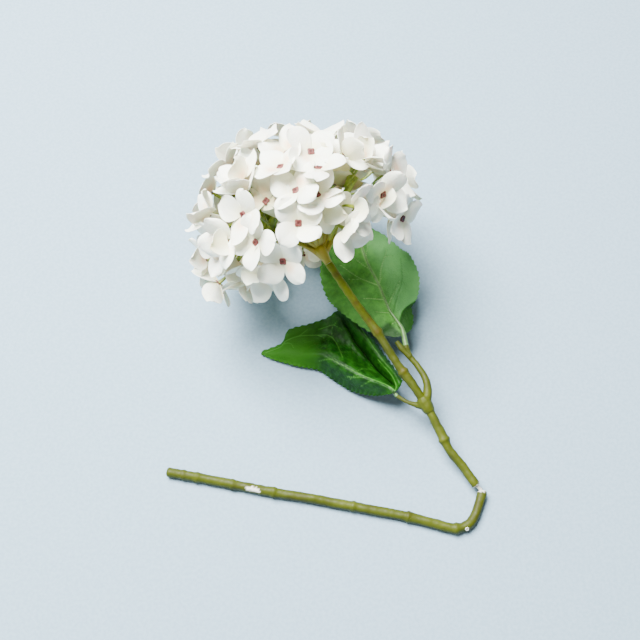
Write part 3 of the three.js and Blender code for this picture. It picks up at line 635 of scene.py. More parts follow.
def leaf_cloth(look, face, gloss, shine):
    """Coated polyester leaf cloth, printed green and pressed with veins; the coat gives the gloss."""
    material, tree, shader, place, veins, shade, faded = new_material(
        f"coated leaf cloth, {face}",
        {"Roughness": gloss, "IOR": 1.48, "Specular IOR Level": shine}, "vein", "shade", "faded")
    dark, body, light, vein, pale = (
        getattr(look, f"{face}_{part}") for part in ("dark", "body", "light", "vein", "pale")
    )
    # The print is blotchy every 5 mm
    patches = add_node(tree, "TexNoise", {
        "Vector": place, "Scale": PER_MM / 5, "Detail": 4.0, "Roughness": 0.62,
    }).outputs["Fac"]
    green = add_node(tree, "ValToRGB", {"Fac": patches}, ((0.36, body), (0.66, light))).outputs["Color"]
    # Threads 0.3 mm apart are drawn 0.9 mm apart so that they show, under a net of 2.6 mm veinlets
    threads = add_node(tree, "TexNoise", {
        "Vector": place, "Scale": PER_MM / 0.9, "Detail": 1.0,
    }).outputs["Fac"]
    cells = add_node(
        tree, "TexVoronoi", {"Vector": place, "Scale": PER_MM / 2.6}, feature="DISTANCE_TO_EDGE"
    ).outputs["Distance"]
    net = add_node(tree, "MapRange", {
        "Value": cells, "From Min": 0.0, "From Max": 0.12,
    }).outputs["Result"]
    height = add_node(tree, "Math", {0: threads, 1: 0.5, 2: net}, operation="MULTIPLY_ADD").outputs[0]
    # The shade mark lays painted shade in the dark colour; the pale colour is painted light on the first
    # leaf's right half, and the second leaf's paler tip
    finish_surface(
        tree, shader, green, ((faded, pale), (shade, dark), (veins, vein)), height, 0.16, 0.55)
    # The coat is duller where the cloth is painted paler
    duller = add_node(tree, "MapRange", {"Value": faded, "To Min": gloss, "To Max": 0.65})
    tree.links.new(duller.outputs["Result"], shader.inputs["Roughness"])
    return material


def rib_plastic(look):
    """Moulded polyethylene rib: pale green, satin."""
    material, tree, shader, place = new_material(
        "moulded polyethylene rib", {"Roughness": 0.45, "IOR": 1.51})
    # Thinner patches of 3 mm are paler
    patches = add_node(tree, "TexNoise", {
        "Vector": place, "Scale": PER_MM / 3, "Detail": 3.0,
    }).outputs["Fac"]
    green = add_node(
        tree, "ValToRGB", {"Fac": patches}, ((0.3, look.rib_dark), (0.7, look.rib))
    ).outputs["Color"]
    finish_surface(tree, shader, green, (), patches, 0.1, 0.5)
    return material


def table_cloth(look):
    """Plain matt table covering: pale grey-blue with a faint weave."""
    material, tree, shader, place = new_material(
        "plain woven table cover", {"Roughness": 0.9, "Specular IOR Level": 0.2})
    # Threads are 0.5 mm apart, too fine for the picture, so the weave is 2 mm
    weave = add_node(tree, "TexNoise", {
        "Vector": place, "Scale": PER_MM / 2, "Detail": 2.0,
    }).outputs["Fac"]
    blue = add_node(
        tree, "ValToRGB", {"Fac": weave}, ((0.35, look.table_dark), (0.65, look.table))
    ).outputs["Color"]
    finish_surface(tree, shader, blue, (), weave, 0.15, 0.3)
    return material


# Florets

HEAD = (
    Matrix.Translation(MIDDLE + HEAD_CENTRE)
    @ Matrix.Rotation(math.radians(CROWN_TURN), 4, "Z")
    @ Matrix.Rotation(math.radians(CROWN_RISE - 90), 4, "X")
)
HUB_TOP = HEAD.inverted() @ (STEM.share(1.0) + MIDDLE)


def dome_at(around, down, depth=1.0):
    """The dome's point and outward direction, in the head's own frame."""
    a, d = math.radians(around), math.radians(down)
    ring = math.sin(d)
    point = Vector((
        DOME_ACROSS * ring * math.sin(a), -DOME_ACROSS * ring * math.cos(a), DOME_ALONG * math.cos(d)
    )) * depth
    outward = Vector((
        ring * math.sin(a) / DOME_ACROSS, -ring * math.cos(a) / DOME_ACROSS, math.cos(d) / DOME_ALONG
    )).normalized()
    return point, outward


def floret_frame(seat):
    """A floret's frame in the head's own: x round the head, z out through its face."""
    around, down, depth, lean_round, lean_down, spin = seat
    point, outward = dome_at(around, down, depth)
    a = math.radians(around)
    ring = Vector((math.cos(a), math.sin(a), 0))
    fall = ring.cross(outward)
    face = (
        outward + ring * math.tan(math.radians(lean_round)) + fall * math.tan(math.radians(lean_down))
    ).normalized()
    x = (ring - face * ring.dot(face)).normalized()
    y = face.cross(x)
    turned = Matrix((x, y, face)).transposed().to_4x4()
    return Matrix.Translation(point) @ turned @ Matrix.Rotation(-math.radians(spin), 4, "Z")


def spin_towards(seat, other):
    """The spin at which a floret's petal points to its neighbour."""
    local = floret_frame(seat).inverted() @ dome_at(*other[:3])[0]
    return -math.degrees(math.atan2(local.y, local.x))


def in_leaf_gap(around, down):
    """Whether the first leaf takes a floret's place."""
    return LEAF_GAP[0] < around < LEAF_GAP[1] and down > LEAF_GAP[2]


def spiral_seats(taken):
    """The unseen florets follow a golden-angle spiral and keep clear of the others."""
    seats = []
    edge = 1 - math.cos(math.radians(DOME_EDGE))
    for i in range(DOME_PLACES):
        down = math.degrees(math.acos(1 - edge * (i + 0.5) / DOME_PLACES))
        around = (i * GOLDEN_ANGLE) % 360
        depth = SPIRAL_DEPTH + 0.015 * math.cos(2.4 * i)
        seat = (around, down, depth, 5 * math.cos(1.7 * i), 5 * math.sin(2.9 * i), 0.0)
        here = dome_at(*seat[:3])[0]
        nearest = min((*taken, *seats), key=lambda other: (dome_at(*other[:3])[0] - here).length)
        too_near = (dome_at(*nearest[:3])[0] - here).length < FLORET_SPACING
        if not too_near and not in_leaf_gap(around, down):
            seats.append((*seat[:5], spin_towards(seat, nearest)))
    return seats


def back_seats(taken):
    """Shorter florets between the others on the unseen side, so that the head is full there too."""
    seats = []
    for i in range(BACK_PLACES):
        down = BACK_DOWN[0] + (BACK_DOWN[1] - BACK_DOWN[0]) * i / BACK_PLACES
        around = (i * GOLDEN_ANGLE + 60) % 360
        seat = (around, down, BACK_DEPTH, 6 * math.cos(2.3 * i), 6 * math.sin(1.9 * i), 40.0 * i)
        here = dome_at(*seat[:2])[0]
        near = min((dome_at(*other[:2])[0] - here).length for other in (*taken, *seats))
        unseen = BACK_AROUND[0] < around < BACK_AROUND[1]
        if unseen and near > BACK_SPACING and not in_leaf_gap(around, down):
            seats.append(seat)
    return seats


CHOSEN_SEATS = UPPER_SIDE_SEATS + TABLE_SEATS
OUTER_SEATS = [*CHOSEN_SEATS, *spiral_seats(CHOSEN_SEATS)]
SEATS = [*OUTER_SEATS, *INNER_SEATS, *back_seats(OUTER_SEATS)]


def cup_at(x, y, index):
    """How far a floret's face rises at a point; its petals differ."""
    out = max(0.0, math.hypot(x, y) - CUP_START) / (FLORET_REACH - CUP_START)
    turn = math.atan2(y, x)
    uneven = 1 + 0.3 * math.cos(turn + 2.1 * index) + 0.25 * math.cos(2 * turn + 1.3 * index)
    return CUP_HEIGHT * uneven * out ** 1.3


PETAL_COLUMNS = 10
PETAL_ROWS = 10
PETAL_THICKNESS = 0.22
PETAL_SEED = 7
# How far an eye's middle stands above its floret's.
EYE_RISE = 1.2
# An eye is a flattened ball with four lobes and a dimple: shares of its radius.
EYE_LOBE, EYE_FLATNESS, DIMPLE_WIDTH, DIMPLE_DEPTH = 0.17, 0.42, 0.38, 0.34
# A bent petal turns about its root, round an arc of one radius upwards or another downwards.
BEND_START, BEND_ARC_UP, BEND_ARC_DOWN = 2.2, 3.2, 1.2
# A petal that hides its eye passes the line of sight by SHUT_PAST degrees; the others lift less.
SHUT_PAST, SHUT_OTHERS = 26.0, 12.0
# Painted shade on the cloth, green from the stalks' bounce light, grows over this share of the dome's
# depth, and near the hub.
DEEP_RUN = 0.28
HUB_SHADE, HUB_SHADE_REACH = 1.2, 32.0
# The florets that show their faces in front come first; the others are deeper cups
OPEN_FLORETS = 13


def petal_outline(out, reach, round_radius):
    """Distance from the floret's centre and half width of a petal, at a share of its length."""
    start, neck = 0.8, 1.5
    x = start + (reach - start) * math.sin(math.pi / 2 * out) ** 0.9
    middle = reach - round_radius
    if x > middle:
        half = math.sqrt(max(0.0, round_radius ** 2 - (x - middle) ** 2))
    else:
        widening = math.sin(math.pi / 2 * (x - start) / (middle - start)) ** 0.95
        half = neck + (round_radius - neck) * widening
    return x, max(half, 0.16 * round_radius)


def bend_up(x, z, angle):
    """Turns a petal's section about its root, round a small arc; a negative angle drops it."""
    if x <= BEND_START or not angle:
        return x, z
    sign, arc = (1, BEND_ARC_UP) if angle > 0 else (-1, BEND_ARC_DOWN)
    turned = min(abs(angle), (x - BEND_START) / arc)
    rest = x - BEND_START - arc * turned
    along = BEND_START + arc * math.sin(turned) + rest * math.cos(turned) - sign * z * math.sin(turned)
    return along, sign * (arc * (1 - math.cos(turned)) + rest * math.sin(turned)) + z * math.cos(turned)


def petal_lifts(index, seat):
    """How far each petal of a floret is bent up (radians), so that the right eyes are hidden."""
    if index not in SHUT_FLORETS and index not in PETAL_BENDS:
        return [0.0] * 4
    viewer = (HEAD @ floret_frame(seat)).inverted() @ (Vector(CAMERA_PLACE) + MIDDLE)
    heading = math.atan2(viewer.y, viewer.x)
    height = math.atan2(viewer.z, math.hypot(viewer.x, viewer.y))
    lifts = []
    for k in range(4):
        toward = math.cos(heading - k * math.pi / 2)
        if index in PETAL_BENDS:
            near, far = PETAL_BENDS[index]
            lifts.append(math.radians(near if toward > 0.2 else far if toward < -0.2 else 0))
        elif toward > 0.707:
            lifts.append(height + math.radians(SHUT_PAST))
        else:
            lifts.append(math.radians(SHUT_OTHERS) * (1 + toward))
    return lifts


def shape_petal(mesh, k, index, chance, sizes, lift):
    """Turns a flat grid into petal k of a floret, in the floret's own frame (mm).

    Chance makes some petals pointed, spooned or flushed, and gives each its own curl and crease.
    """
    marks = new_marks(mesh, "root", "tone", "flush")
    reach = sizes.petal_reach / MM * chance.uniform(0.96, 1.05)
    round_radius = sizes.petal_half_width / MM * chance.uniform(0.94, 1.08)
    tip = chance.uniform(-0.5, 0.4) + (1.8 if chance.random() < 0.06 else 0.0)
    spoon = chance.uniform(-3.0, -0.8) if chance.random() < 0.7 else chance.uniform(-0.4, 1.6)
    belly = chance.uniform(0.8, 2.2)
    blush = chance.uniform(0.5, 1.0) if chance.random() < 0.3 else chance.uniform(0.0, 0.15)
    crease = chance.uniform(0.0, 50.0)
    curl = chance.uniform(-1.8, 0.8)
    twist = chance.uniform(-0.06, 0.06)
    wave = chance.uniform(0.0, 6.28)
    shade = chance.uniform(0.2, 1.0)
    deeper = 0.0 if index < OPEN_FLORETS else 1.8
    turn = Matrix.Rotation(k * math.pi / 2 + chance.uniform(-0.06, 0.06), 3, "Z")
    for vertex, root, tone, flush in zip(mesh.vertices, *marks):
        across = vertex.co.x * 2
        out = vertex.co.y + 0.5
        x, half = petal_outline(out, reach, round_radius)
        part = x / reach
        x += tip * (1 - across ** 2) * part ** 4
        place = turn @ Vector((x, half * across, 0))
        rise = cup_at(place.x, place.y, index) + 0.55 + deeper * part ** 2
        rise += belly * math.sin(math.pi * min(1.0, part * 0.95)) * (1 - 0.4 * across ** 2)
        rise += spoon * across ** 2 * math.sin(math.pi * min(1.0, part * 0.92))
        rise += curl * part ** 4 + twist * x * across * 2
        # A groove down the middle, and a waved edge
        rise -= 0.25 * math.exp(-(across / 0.16) ** 2) * part
        rise += 0.35 * part ** 2 * math.sin(5.0 * across + wave) * abs(across)
        # Petals overlap in pairs
        rise += 0.35 * (k % 2) * part
        rise += 0.7 * part * noise.noise(Vector((x * 0.16 + crease, half * across * 0.2, crease)))
        along, rise = bend_up(x, rise, lift)
        place = turn @ Vector((along, half * across, 0))
        place.z = rise
        vertex.co = place
        root.value = max(0.0, 1 - math.hypot(place.x, place.y) / 10.0) ** 1.3
        tone.value = shade
        flush.value = blush * math.exp(-((x - 5.5) / 3.2) ** 2 - (across / 0.6) ** 2)


def mark_deep_shade(mesh, seat):
    """Painted shade of each point of a petal, by how deep in the head it lies: 0 at the dome, 1 well
    inside it.
    """
    to_head = floret_frame(seat)
    for vertex, deep in zip(mesh.vertices, *new_marks(mesh, "deep")):
        place = to_head @ vertex.co
        out = math.hypot(place.x / DOME_ACROSS, place.y / DOME_ACROSS, place.z / DOME_ALONG)
        # More painted shade near the hub
        by_hub = HUB_SHADE - (place - HUB_TOP).length / HUB_SHADE_REACH
        deep.value = min(1.0, max(0.0, (1.0 - out) / DEEP_RUN, by_hub))


def lay_in_head(mesh, toward, lowest):
    """Moves a mesh from its own frame (mm) into the part's, and keeps it above the table."""
    for vertex in mesh.vertices:
        place = toward @ vertex.co
        place.z = max(place.z, lowest)
        vertex.co = place * MM


def build_florets(sizes, material):
    """Builds the four cloth petals of every floret."""
    chance = random.Random(PETAL_SEED)
    petal = grid("petal", PETAL_COLUMNS, PETAL_ROWS)
    pieces = []
    for index, seat in enumerate(SEATS):
        toward = HEAD @ floret_frame(seat)
        lifts = petal_lifts(index, seat)
        for k in range(4):
            copy = own_copy(petal)
            shape_petal(copy.data, k, index, chance, sizes, lifts[k])
            mark_deep_shade(copy.data, seat)
            lay_in_head(copy.data, toward, PETAL_LOWEST)
            pieces.append(copy)
    bpy.data.objects.remove(petal)
    cloth = join(pieces, "cloth_florets")
    apply_modifier(cloth, "SOLIDIFY", thickness=PETAL_THICKNESS * MM, offset=0.0)
    finish_piece(cloth, material, "flower_head")


def build_eyes(sizes, material):
    """Builds the moulded eyes that hold the florets on."""
    deselect()
    bpy.ops.mesh.primitive_uv_sphere_add(segments=16, ring_count=7, radius=1.0, location=(0, 0, 0))
    eye = bpy.context.object
    radius = sizes.eye_radius / MM
    for vertex, dimple in zip(eye.data.vertices, *new_marks(eye.data, "dimple")):
        x, y, z = vertex.co
        out = math.hypot(x, y)
        lobes = 1 + EYE_LOBE * math.cos(4 * math.atan2(y, x)) * out
        pit = math.exp(-(out / DIMPLE_WIDTH) ** 2) if z > 0 else 0.0
        dimple.value = pit
        height = z * EYE_FLATNESS - DIMPLE_DEPTH * pit
        vertex.co = (x * radius * lobes, y * radius * lobes, height * radius)
    pieces = []
    for seat in SEATS:
        copy = own_copy(eye)
        toward = HEAD @ floret_frame(seat) @ Matrix.Translation((0, 0, EYE_RISE))
        lay_in_head(copy.data, toward, EYE_LOWEST)
        pieces.append(copy)
    bpy.data.objects.remove(eye)
    eyes = join(pieces, "floret_eyes")
    finish_piece(eyes, material, "flower_head")


def cluster_point(cluster):
    """Where a branch of the spray parts into stalks."""
    return dome_at(*cluster, CLUSTER_DEPTH)[0].lerp(HUB_TOP, 0.15)


def head_curve(*points):
    """A curve through points of the head's own frame."""
    return Route([HEAD @ point - MIDDLE for point in points], 12)


def build_spray(material):
    """Builds the hub, its branches and spokes, and a stalk for each floret."""
    pieces = []
    for seat in SEATS:
        to_head = floret_frame(seat)
        here = dome_at(*seat[:2])[0]
        cluster = min(CLUSTERS, key=lambda c: (dome_at(*c)[0] - here).length)
        start = cluster_point(cluster)
        neck = to_head @ Vector((0, 0, -7))
        middle = start.lerp(to_head @ Vector((0, 0, -9)), 0.55)
        end = to_head @ Vector((0, 0, 0.6))
        pieces.append(tapered("stalk", head_curve(start, middle, neck, end), STALK_RADII, 14, 8))
    for cluster in CLUSTERS:
        end = cluster_point(cluster)
        middle = HUB_TOP.lerp(end, 0.5) + Vector((0, 0, 3))
        pieces.append(tapered("branch", head_curve(HUB_TOP, middle, end), BRANCH_RADII, 12, 12))
    stations = [(STEM.by_length(HUB_START + along), radius) for along, radius in HUB_PROFILE]
    pieces.append(tube("hub", stations, 20))
    pieces += [tapered("spoke", Route(route), radii, 24, 12) for route, radii in HUB_SPOKES]
    spray = join(pieces, "green_spray")
    centre = (HEAD @ HUB_TOP) * MM
    for vertex, hub in zip(spray.data.vertices, *new_marks(spray.data, "hub")):
        hub.value = math.exp(-((vertex.co - centre).length / (HUB_GLOW * MM)) ** 2)
        vertex.co.z = max(vertex.co.z, SPRAY_LOWEST * MM)
    finish_piece(spray, material, "flower_head", 50)


# Stem

def lip_height(along, at, height, run):
    """A moulding step at a distance, which dies away over its run (backwards if negative)."""
    part = (along - at) / run
    if part >= 0:
        return height * math.exp(-2 * part)
    return height * math.exp(-((along - at) / 0.7) ** 2)


def fall_off(place, centre, reach):
    """1 at a centre (mm), less away from it."""
    return math.exp(-((place - Vector(centre)).length / reach) ** 2)


def weather(piece):
    """Raises streaks and lumps on a moulding of the stem and marks where it is stained and where it is
    warmer and painted lighter.
    """
    mesh = piece.data
    stains, warm_and_lit_marks = new_marks(mesh, "worn", "stain", "warm")[1:]
    nearest = kdtree.KDTree(len(STEM.dense))
    for index, point in enumerate(STEM.dense):
        nearest.insert(point, index)
    nearest.balance()
    for vertex, stain, warm in zip(mesh.vertices, stains, warm_and_lit_marks):
        place = vertex.co / MM - MIDDLE
        middle, index, away = nearest.find(place)
        along = STEM.lengths[index]
        outward = (place - middle).normalized()
        # Long drawn streaks, then shorter swellings
        rise = 0.3 * noise.noise(Vector((along * 0.09, outward.x * 2.4, outward.z * 2.4)))
        rise += 0.3 * noise.noise(Vector((along * 0.3, outward.x * 1.3 + 5, outward.z * 1.3)))
        rise += sum(height * fall_off(place, lump, reach) for lump, reach, height in STEM_LUMPS)
        spot = max(fall_off(place, mark, reach) for mark, reach in STEM_STAINS)
        ragged = 1 + 0.5 * noise.noise(place * 0.8)
        stain.value = min(1.0, 0.6 * spot * ragged)
        # Yellower towards the head, and painted lighter there as painted light against the head's shadow
        warm.value = 0.6 * min(1.0, max(0.0, (along - WARM_FROM) / WARM_RUN)) * ragged
        place += outward * rise * min(1.0, away)
        place.z = max(place.z, STEM_LOWEST)
        vertex.co = (place + MIDDLE) * MM


def torn_hole():
    """The pale torn edge of a small hole in the lower coat."""
    deselect()
    bpy.ops.mesh.primitive_torus_add(
        major_radius=HOLE_RADIUS * MM, minor_radius=HOLE_RIM * MM, major_segments=24, minor_segments=8,
        location=(Vector(STEM_HOLE) + MIDDLE) * MM, rotation=HOLE_TURN,
    )
    rim = bpy.context.object
    apply_place(rim)
    weather(rim)
    for worn in rim.data.attributes["worn"].data:
        worn.value = 1.0
    return rim


def ringed_coat(name, start, end, radii, rings, sizes):
    """A length of the stem's coat, with its rings, moulding steps and uneven thickness."""
    stations = []
    steps = int((end - start) / COAT_STEP)
    for i in range(steps + 1):
        along = start + (end - start) * i / steps
        point = STEM.by_length(along)
        radius = radii[0] + (radii[1] - radii[0]) * (along - start) / (end - start)
        radius += sum(sizes.ring_height / MM * math.exp(-((along - r) / RING_REACH) ** 2) for r in rings)
        radius += sum(lip_height(along, *lip) for lip in STEM_LIPS)
        radius += 0.14 * noise.noise(Vector((along * 0.11, 3.0, 0)))
        radius += 0.06 * noise.noise(Vector((along * 0.6, 9.0, 0)))
        # The upper coat's far end runs into the hub, so it isn't drawn in
        from_end = min(along - start, end - along if end < HUB_START else COAT_END_RUN)
        radius -= COAT_END_DEPTH * max(0.0, 1 - from_end / COAT_END_RUN) ** 2
        stations.append((point, radius))
    piece = tube(name, stations, 28)
    weather(piece)
    return piece


def mark_worn(piece, centre, along, across, limit=0.35):
    """Rubs the coat pale in a ragged patch round a point, so far along and across the stem (mm)."""
    middle = (Vector(centre) + MIDDLE) * MM
    direction = STEM.tangent(STEM.lengths[min(
        range(0, len(STEM.dense), 4), key=lambda i: (STEM.dense[i] - Vector(centre)).length
    )])
    for vertex, worn in zip(piece.data.vertices, piece.data.attributes["worn"].data):
        away = (vertex.co - middle) / MM
        run = away.dot(direction)
        side = (away - direction * run).length
        spread = (run / along) ** 2 + (side / across) ** 2
        ragged = 1.1 - spread + 0.9 * noise.noise(vertex.co / (1.5 * MM))
        worn.value = max(worn.value, min(1.0, max(0.0, (ragged - limit) * 3)))


def build_stem(sizes, plastic, wire_metal):
    """Builds both coats of the stem and the wire inside."""
    lower = ringed_coat("lower_stem_coat", 0.0, LOWER_END, LOWER_RADII, LOWER_RINGS, sizes)
    mark_worn(lower, *STEM_SCRAPE)
    mark_worn(lower, STEM.by_length(LOWER_END), *LOWER_TEAR)
    lower = join([lower, torn_hole()], "lower_stem_coat")
    finish_piece(lower, plastic, "stem_lower")
    rings = [s + UPPER_START for s in UPPER_RINGS]
    upper = ringed_coat("upper_stem_coat", UPPER_START, HUB_START, UPPER_RADII, rings, sizes)
    mark_worn(upper, STEM.by_length(UPPER_START), *UPPER_TEAR)
    finish_piece(upper, plastic, "stem_upper")
    stations = [(STEM.by_length(s), WIRE_RADIUS) for s in range(0, int(STEM.length - 5), 2)]
    wire = tube("stem_core_wire", stations, 16)
    finish_piece(wire, wire_metal, "stem_wire", 50)


def build_collar(plastic):
    """Builds the collar as one moulding: sleeve, branch, stub and stalk."""
    middle = STEM.distance_of(len(LOWER_ROUTE) + 5)
    sleeve = [(STEM.by_length(middle + SLEEVE_HALF * part), radius) for part, radius in SLEEVE_PROFILE]
    pieces = [
        tube("sleeve", sleeve, 24),
        tapered("branch", Route(BRANCH_ROUTE), COLLAR_BRANCH_RADII, 30, 20),
        tapered("stub", Route(STUB_ROUTE), STUB_RADII, 14, 16),
        tapered("leaf_stalk", Route(LEAF_STALK_ROUTE), LEAF_STALK_RADII, 18, 16),
    ]
    collar = join(pieces, "leaf_collar_moulding")
    apply_modifier(collar, "REMESH", mode="VOXEL", voxel_size=COLLAR_VOXEL * MM, use_smooth_shade=True)
    apply_modifier(collar, "SMOOTH", factor=0.5, iterations=10)
    weather(collar)
    finish_piece(collar, plastic, "leaf_collar")


# Leaves

LEAF_1_MIDDLE = Route(LEAF_1_RIB)
LEAF_2_NEAR = Route(LEAF_2_NEAR_EDGE)
LEAF_2_FAR = Route(LEAF_2_FAR_EDGE)


def tooth_at(share, count, depth):
    """A saw tooth that points to the tip."""
    part = (share * count) % 1.0
    return depth * (part / 0.75 if part < 0.75 else (1 - part) / 0.25)


def leaf_1_point(share, across, sizes):
    """A point of the first leaf and its half width there; across is -1 on the left."""
    along = share * LEAF_1_MIDDLE.length
    place = LEAF_1_MIDDLE.by_length(along)
    tangent = LEAF_1_MIDDLE.tangent(along)
    side = Vector((tangent.y, -tangent.x, 0)).normalized()
    fullness = max(0.0, math.sin(math.pi * share ** 1.05)) ** (0.6 + 0.25 * min(1.0, share / 0.16))
    half = (LEAF_1_RIGHT if across > 0 else LEAF_1_LEFT) * fullness + 0.9
    edge = max(0.0, (abs(across) - 0.8) / 0.2) ** 2
    half_toothed = half + edge * tooth_at(share, LEAF_1_TEETH, sizes.tooth_depth / MM)
    place = place + side * across * half_toothed
    fold = 7 * max(0.0, across) * max(0.0, 1 - share / 0.35) * fullness
    place.z -= LEAF_1_DROOP * across * across * fullness + fold
    return place, half


def value_at(table, share):
    """A value between the (share, value) pairs of a table."""
    for (start, first), (end, last) in zip(table, table[1:]):
        if share <= end:
            return first + (last - first) * max(0.0, share - start) / (end - start)
    return table[-1][1]


def smooth_step(low, high, value):
    """0 up to low, 1 from high on, and smooth between them."""
    part = min(1.0, max(0.0, (value - low) / (high - low)))
    return part * part * (3 - 2 * part)


def vein_paths(veins, flat_at):
    """Veins as smooth lines on the flat blade: half width, points, and the box round them."""
    paths = []
    for half_width, spots in veins:
        curve = Route([Vector((*flat_at(*spot), 0)) for spot in spots], 6)
        points = [p.xy + Vector((0, 0.35 * noise.noise(p * 0.25))) for p in curve.dense[::2]]
        reach = 2 * half_width
        box = (
            min(p.x for p in points) - reach, max(p.x for p in points) + reach,
            min(p.y for p in points) - reach, max(p.y for p in points) + reach,
        )
        paths.append((half_width, points, box))
    return paths


def on_vein(paths, spot, spread=1.0):
    """1 on a vein and 0 beyond its edge; the veins thin towards their ends."""
    best = 0.0
    for half_width, points, (left, right, low, high) in paths:
        if not (left < spot.x < right and low < spot.y < high):
            continue
        last = len(points) - 1
        for i in range(last):
            run = points[i + 1] - points[i]
            part = min(1.0, max(0.0, (spot - points[i]).dot(run) / max(run.length_squared, 1e-9)))
            off = (spot - points[i] - run * part).length
            width = half_width * spread * (1.0 - 0.55 * (i + part) / last)
            best = max(best, 1 - off / width)
    return best * best * (3 - 2 * best)


def leaf_blade(name, rows, point_at):
    """A blade over a grid; point_at gives place (mm), vein, painted shade and paleness (painted light on
    the first leaf) for share and across.
    """
    piece = grid(name, LEAF_COLUMNS, rows)
    mesh = piece.data
    marks = new_marks(mesh, "vein", "shade", "faded")
    for index, vertex in enumerate(mesh.vertices):
        place, *values = point_at(vertex.co.x + 0.5, vertex.co.y + 0.5)
        vertex.co = (place + MIDDLE) * MM
        for mark, value in zip(marks, values):
            mark[index].value = value
    apply_modifier(piece, "SOLIDIFY", thickness=LEAF_THICKNESS * MM, offset=0.0)
    return piece


def build_leaf_1(sizes, cloth, rib_material):
    """Builds the first leaf, back upwards, and its rib."""
    length = LEAF_1_MIDDLE.length

    def flat_at(share, across):
        return share * length, across * leaf_1_point(share, across, sizes)[1]

    veins = vein_paths(LEAF_1_VEINS, flat_at)
    crease = vein_paths(LEAF_1_CREASE, flat_at)

    def point_at(share, up):
        across = 1 - 2 * up
        place, half = leaf_1_point(share, across, sizes)
        spot = Vector((share * length, across * half))
        out = abs(spot.y)
        vein = on_vein(veins, spot)
        ditch = on_vein(veins, spot, 5.0)
        fold = on_vein(crease, spot)
        # The cloth swells between its veins, which stand in shallow ditches
        pillow = 0.8 * noise.noise(Vector((spot.x / 13, spot.y / 11, 4.0)))
        pillow += 0.3 * noise.noise(Vector((spot.x / 5, spot.y / 4, 8.0)))
        place.z += (pillow - 0.5 * ditch + 0.75 * vein - 0.4 * fold) * smooth_step(0, 5, out) - 0.25
        mid_vein = max(0.0, 1 - out / 1.5)
        # Painted shade on the folded-down corners at the base, which are painted in the dark colour
        shaded_corners = smooth_step(-0.012, 0.012, 0.09 + 0.135 * across - share)
        shaded_corners *= smooth_step(-0.2, -0.05, across)
        shaded_corners = max(shaded_corners, smooth_step(-0.02, 0.02, 0.15 - share) * smooth_step(0.12, 0.4, -across))
        # Painted shade in the crease; the left half is a little darker
        left = smooth_step(0.1, 0.5, -across)
        dark = max(shaded_corners, 0.08 * left, 0.45 * fold)
        # The tip is darker on its right
        dark = max(dark, 0.5 * smooth_step(0.72, 0.9, share) * smooth_step(0.1, 0.5, across))
        # Painted shade in the ditches beside the veins, which stay lighter
        dark = max(0.0, max(dark, 0.2 * ditch) - 0.6 * vein)
        # Painted light: the right half is painted paler, outside the shaded corners
        faded = smooth_step(-0.1, 0.4, across) * (1 - shaded_corners) * 0.7
        return place, max(0.6 * vein, 0.6 * mid_vein) * (1 - shaded_corners), dark, faded

    leaf = leaf_blade("first_leaf", LEAF_1_ROWS, point_at)
    finish_piece(leaf, cloth, "leaf_1")
    points = [Vector(BRANCH_ROUTE[-1])]
    for share, lift in LEAF_1_RIB_LIFTS:
        place = LEAF_1_MIDDLE.share(share)
        place.z += lift
        points.append(place)
    rib = tapered("first_leaf_rib", Route(points), LEAF_1_RIB_RADII, 60, 14)
    finish_piece(rib, rib_material, "leaf_1_rib")


def hill(value, middle, width):
    """1 at the middle, falling off over a width."""
    return math.exp(-((value - middle) / width) ** 2)


def leaf_2_point(share, across, sizes):
    """A point of the second leaf and its width there."""
    near = LEAF_2_NEAR.share(share)
    far = LEAF_2_FAR.share(share)
    place = near.lerp(far, across)
    fullness = max(0.0, math.sin(math.pi * share ** 0.7))
    ridge_at = value_at(LEAF_2_RIDGE, share)
    fold_at = value_at(LEAF_2_FOLD, share)
    hollow_at, hollow_width, hollow_depth = LEAF_2_HOLLOW
    inside = 1 - (2 * across - 1) ** 6
    flat_tip = smooth_step(0.6, 0.78, share)
    ridge = LEAF_2_RIDGE_HEIGHT * hill(across, ridge_at - 0.02, 0.28) * (1 - 0.45 * flat_tip)
    crest = LEAF_2_CREST_HEIGHT * hill(across, ridge_at - 0.05, 0.08)
    crest *= smooth_step(0.04, 0.15, share) * (1 - flat_tip)
    hollow = hollow_depth * hill(across, hollow_at, hollow_width) * (1 - share)
    folded = smooth_step(0.03, 0.12, share) * (1 - smooth_step(0.48, 0.6, share))
    ditch = LEAF_2_FOLD_DEPTH * hill(across, fold_at, 0.045) * folded
    roll = 0.0
    if across > fold_at:
        beyond = (across - fold_at) / (1.001 - fold_at)
        roll = LEAF_2_ROLL_HEIGHT * math.sin(math.pi * beyond) ** 0.8 * folded
    place.z += (ridge - hollow) * fullness * inside + (crest - ditch) * inside + roll
    edge = max(0.0, (abs(2 * across - 1) - 0.85) / 0.15) ** 2
    outward = far - near
    outward.z = 0
    outward.normalize()
    tooth = edge * tooth_at(share, LEAF_2_TEETH, sizes.tooth_depth / MM)
    place = place + outward * (tooth if across > 0.5 else -tooth)
    return place, (far - near).length


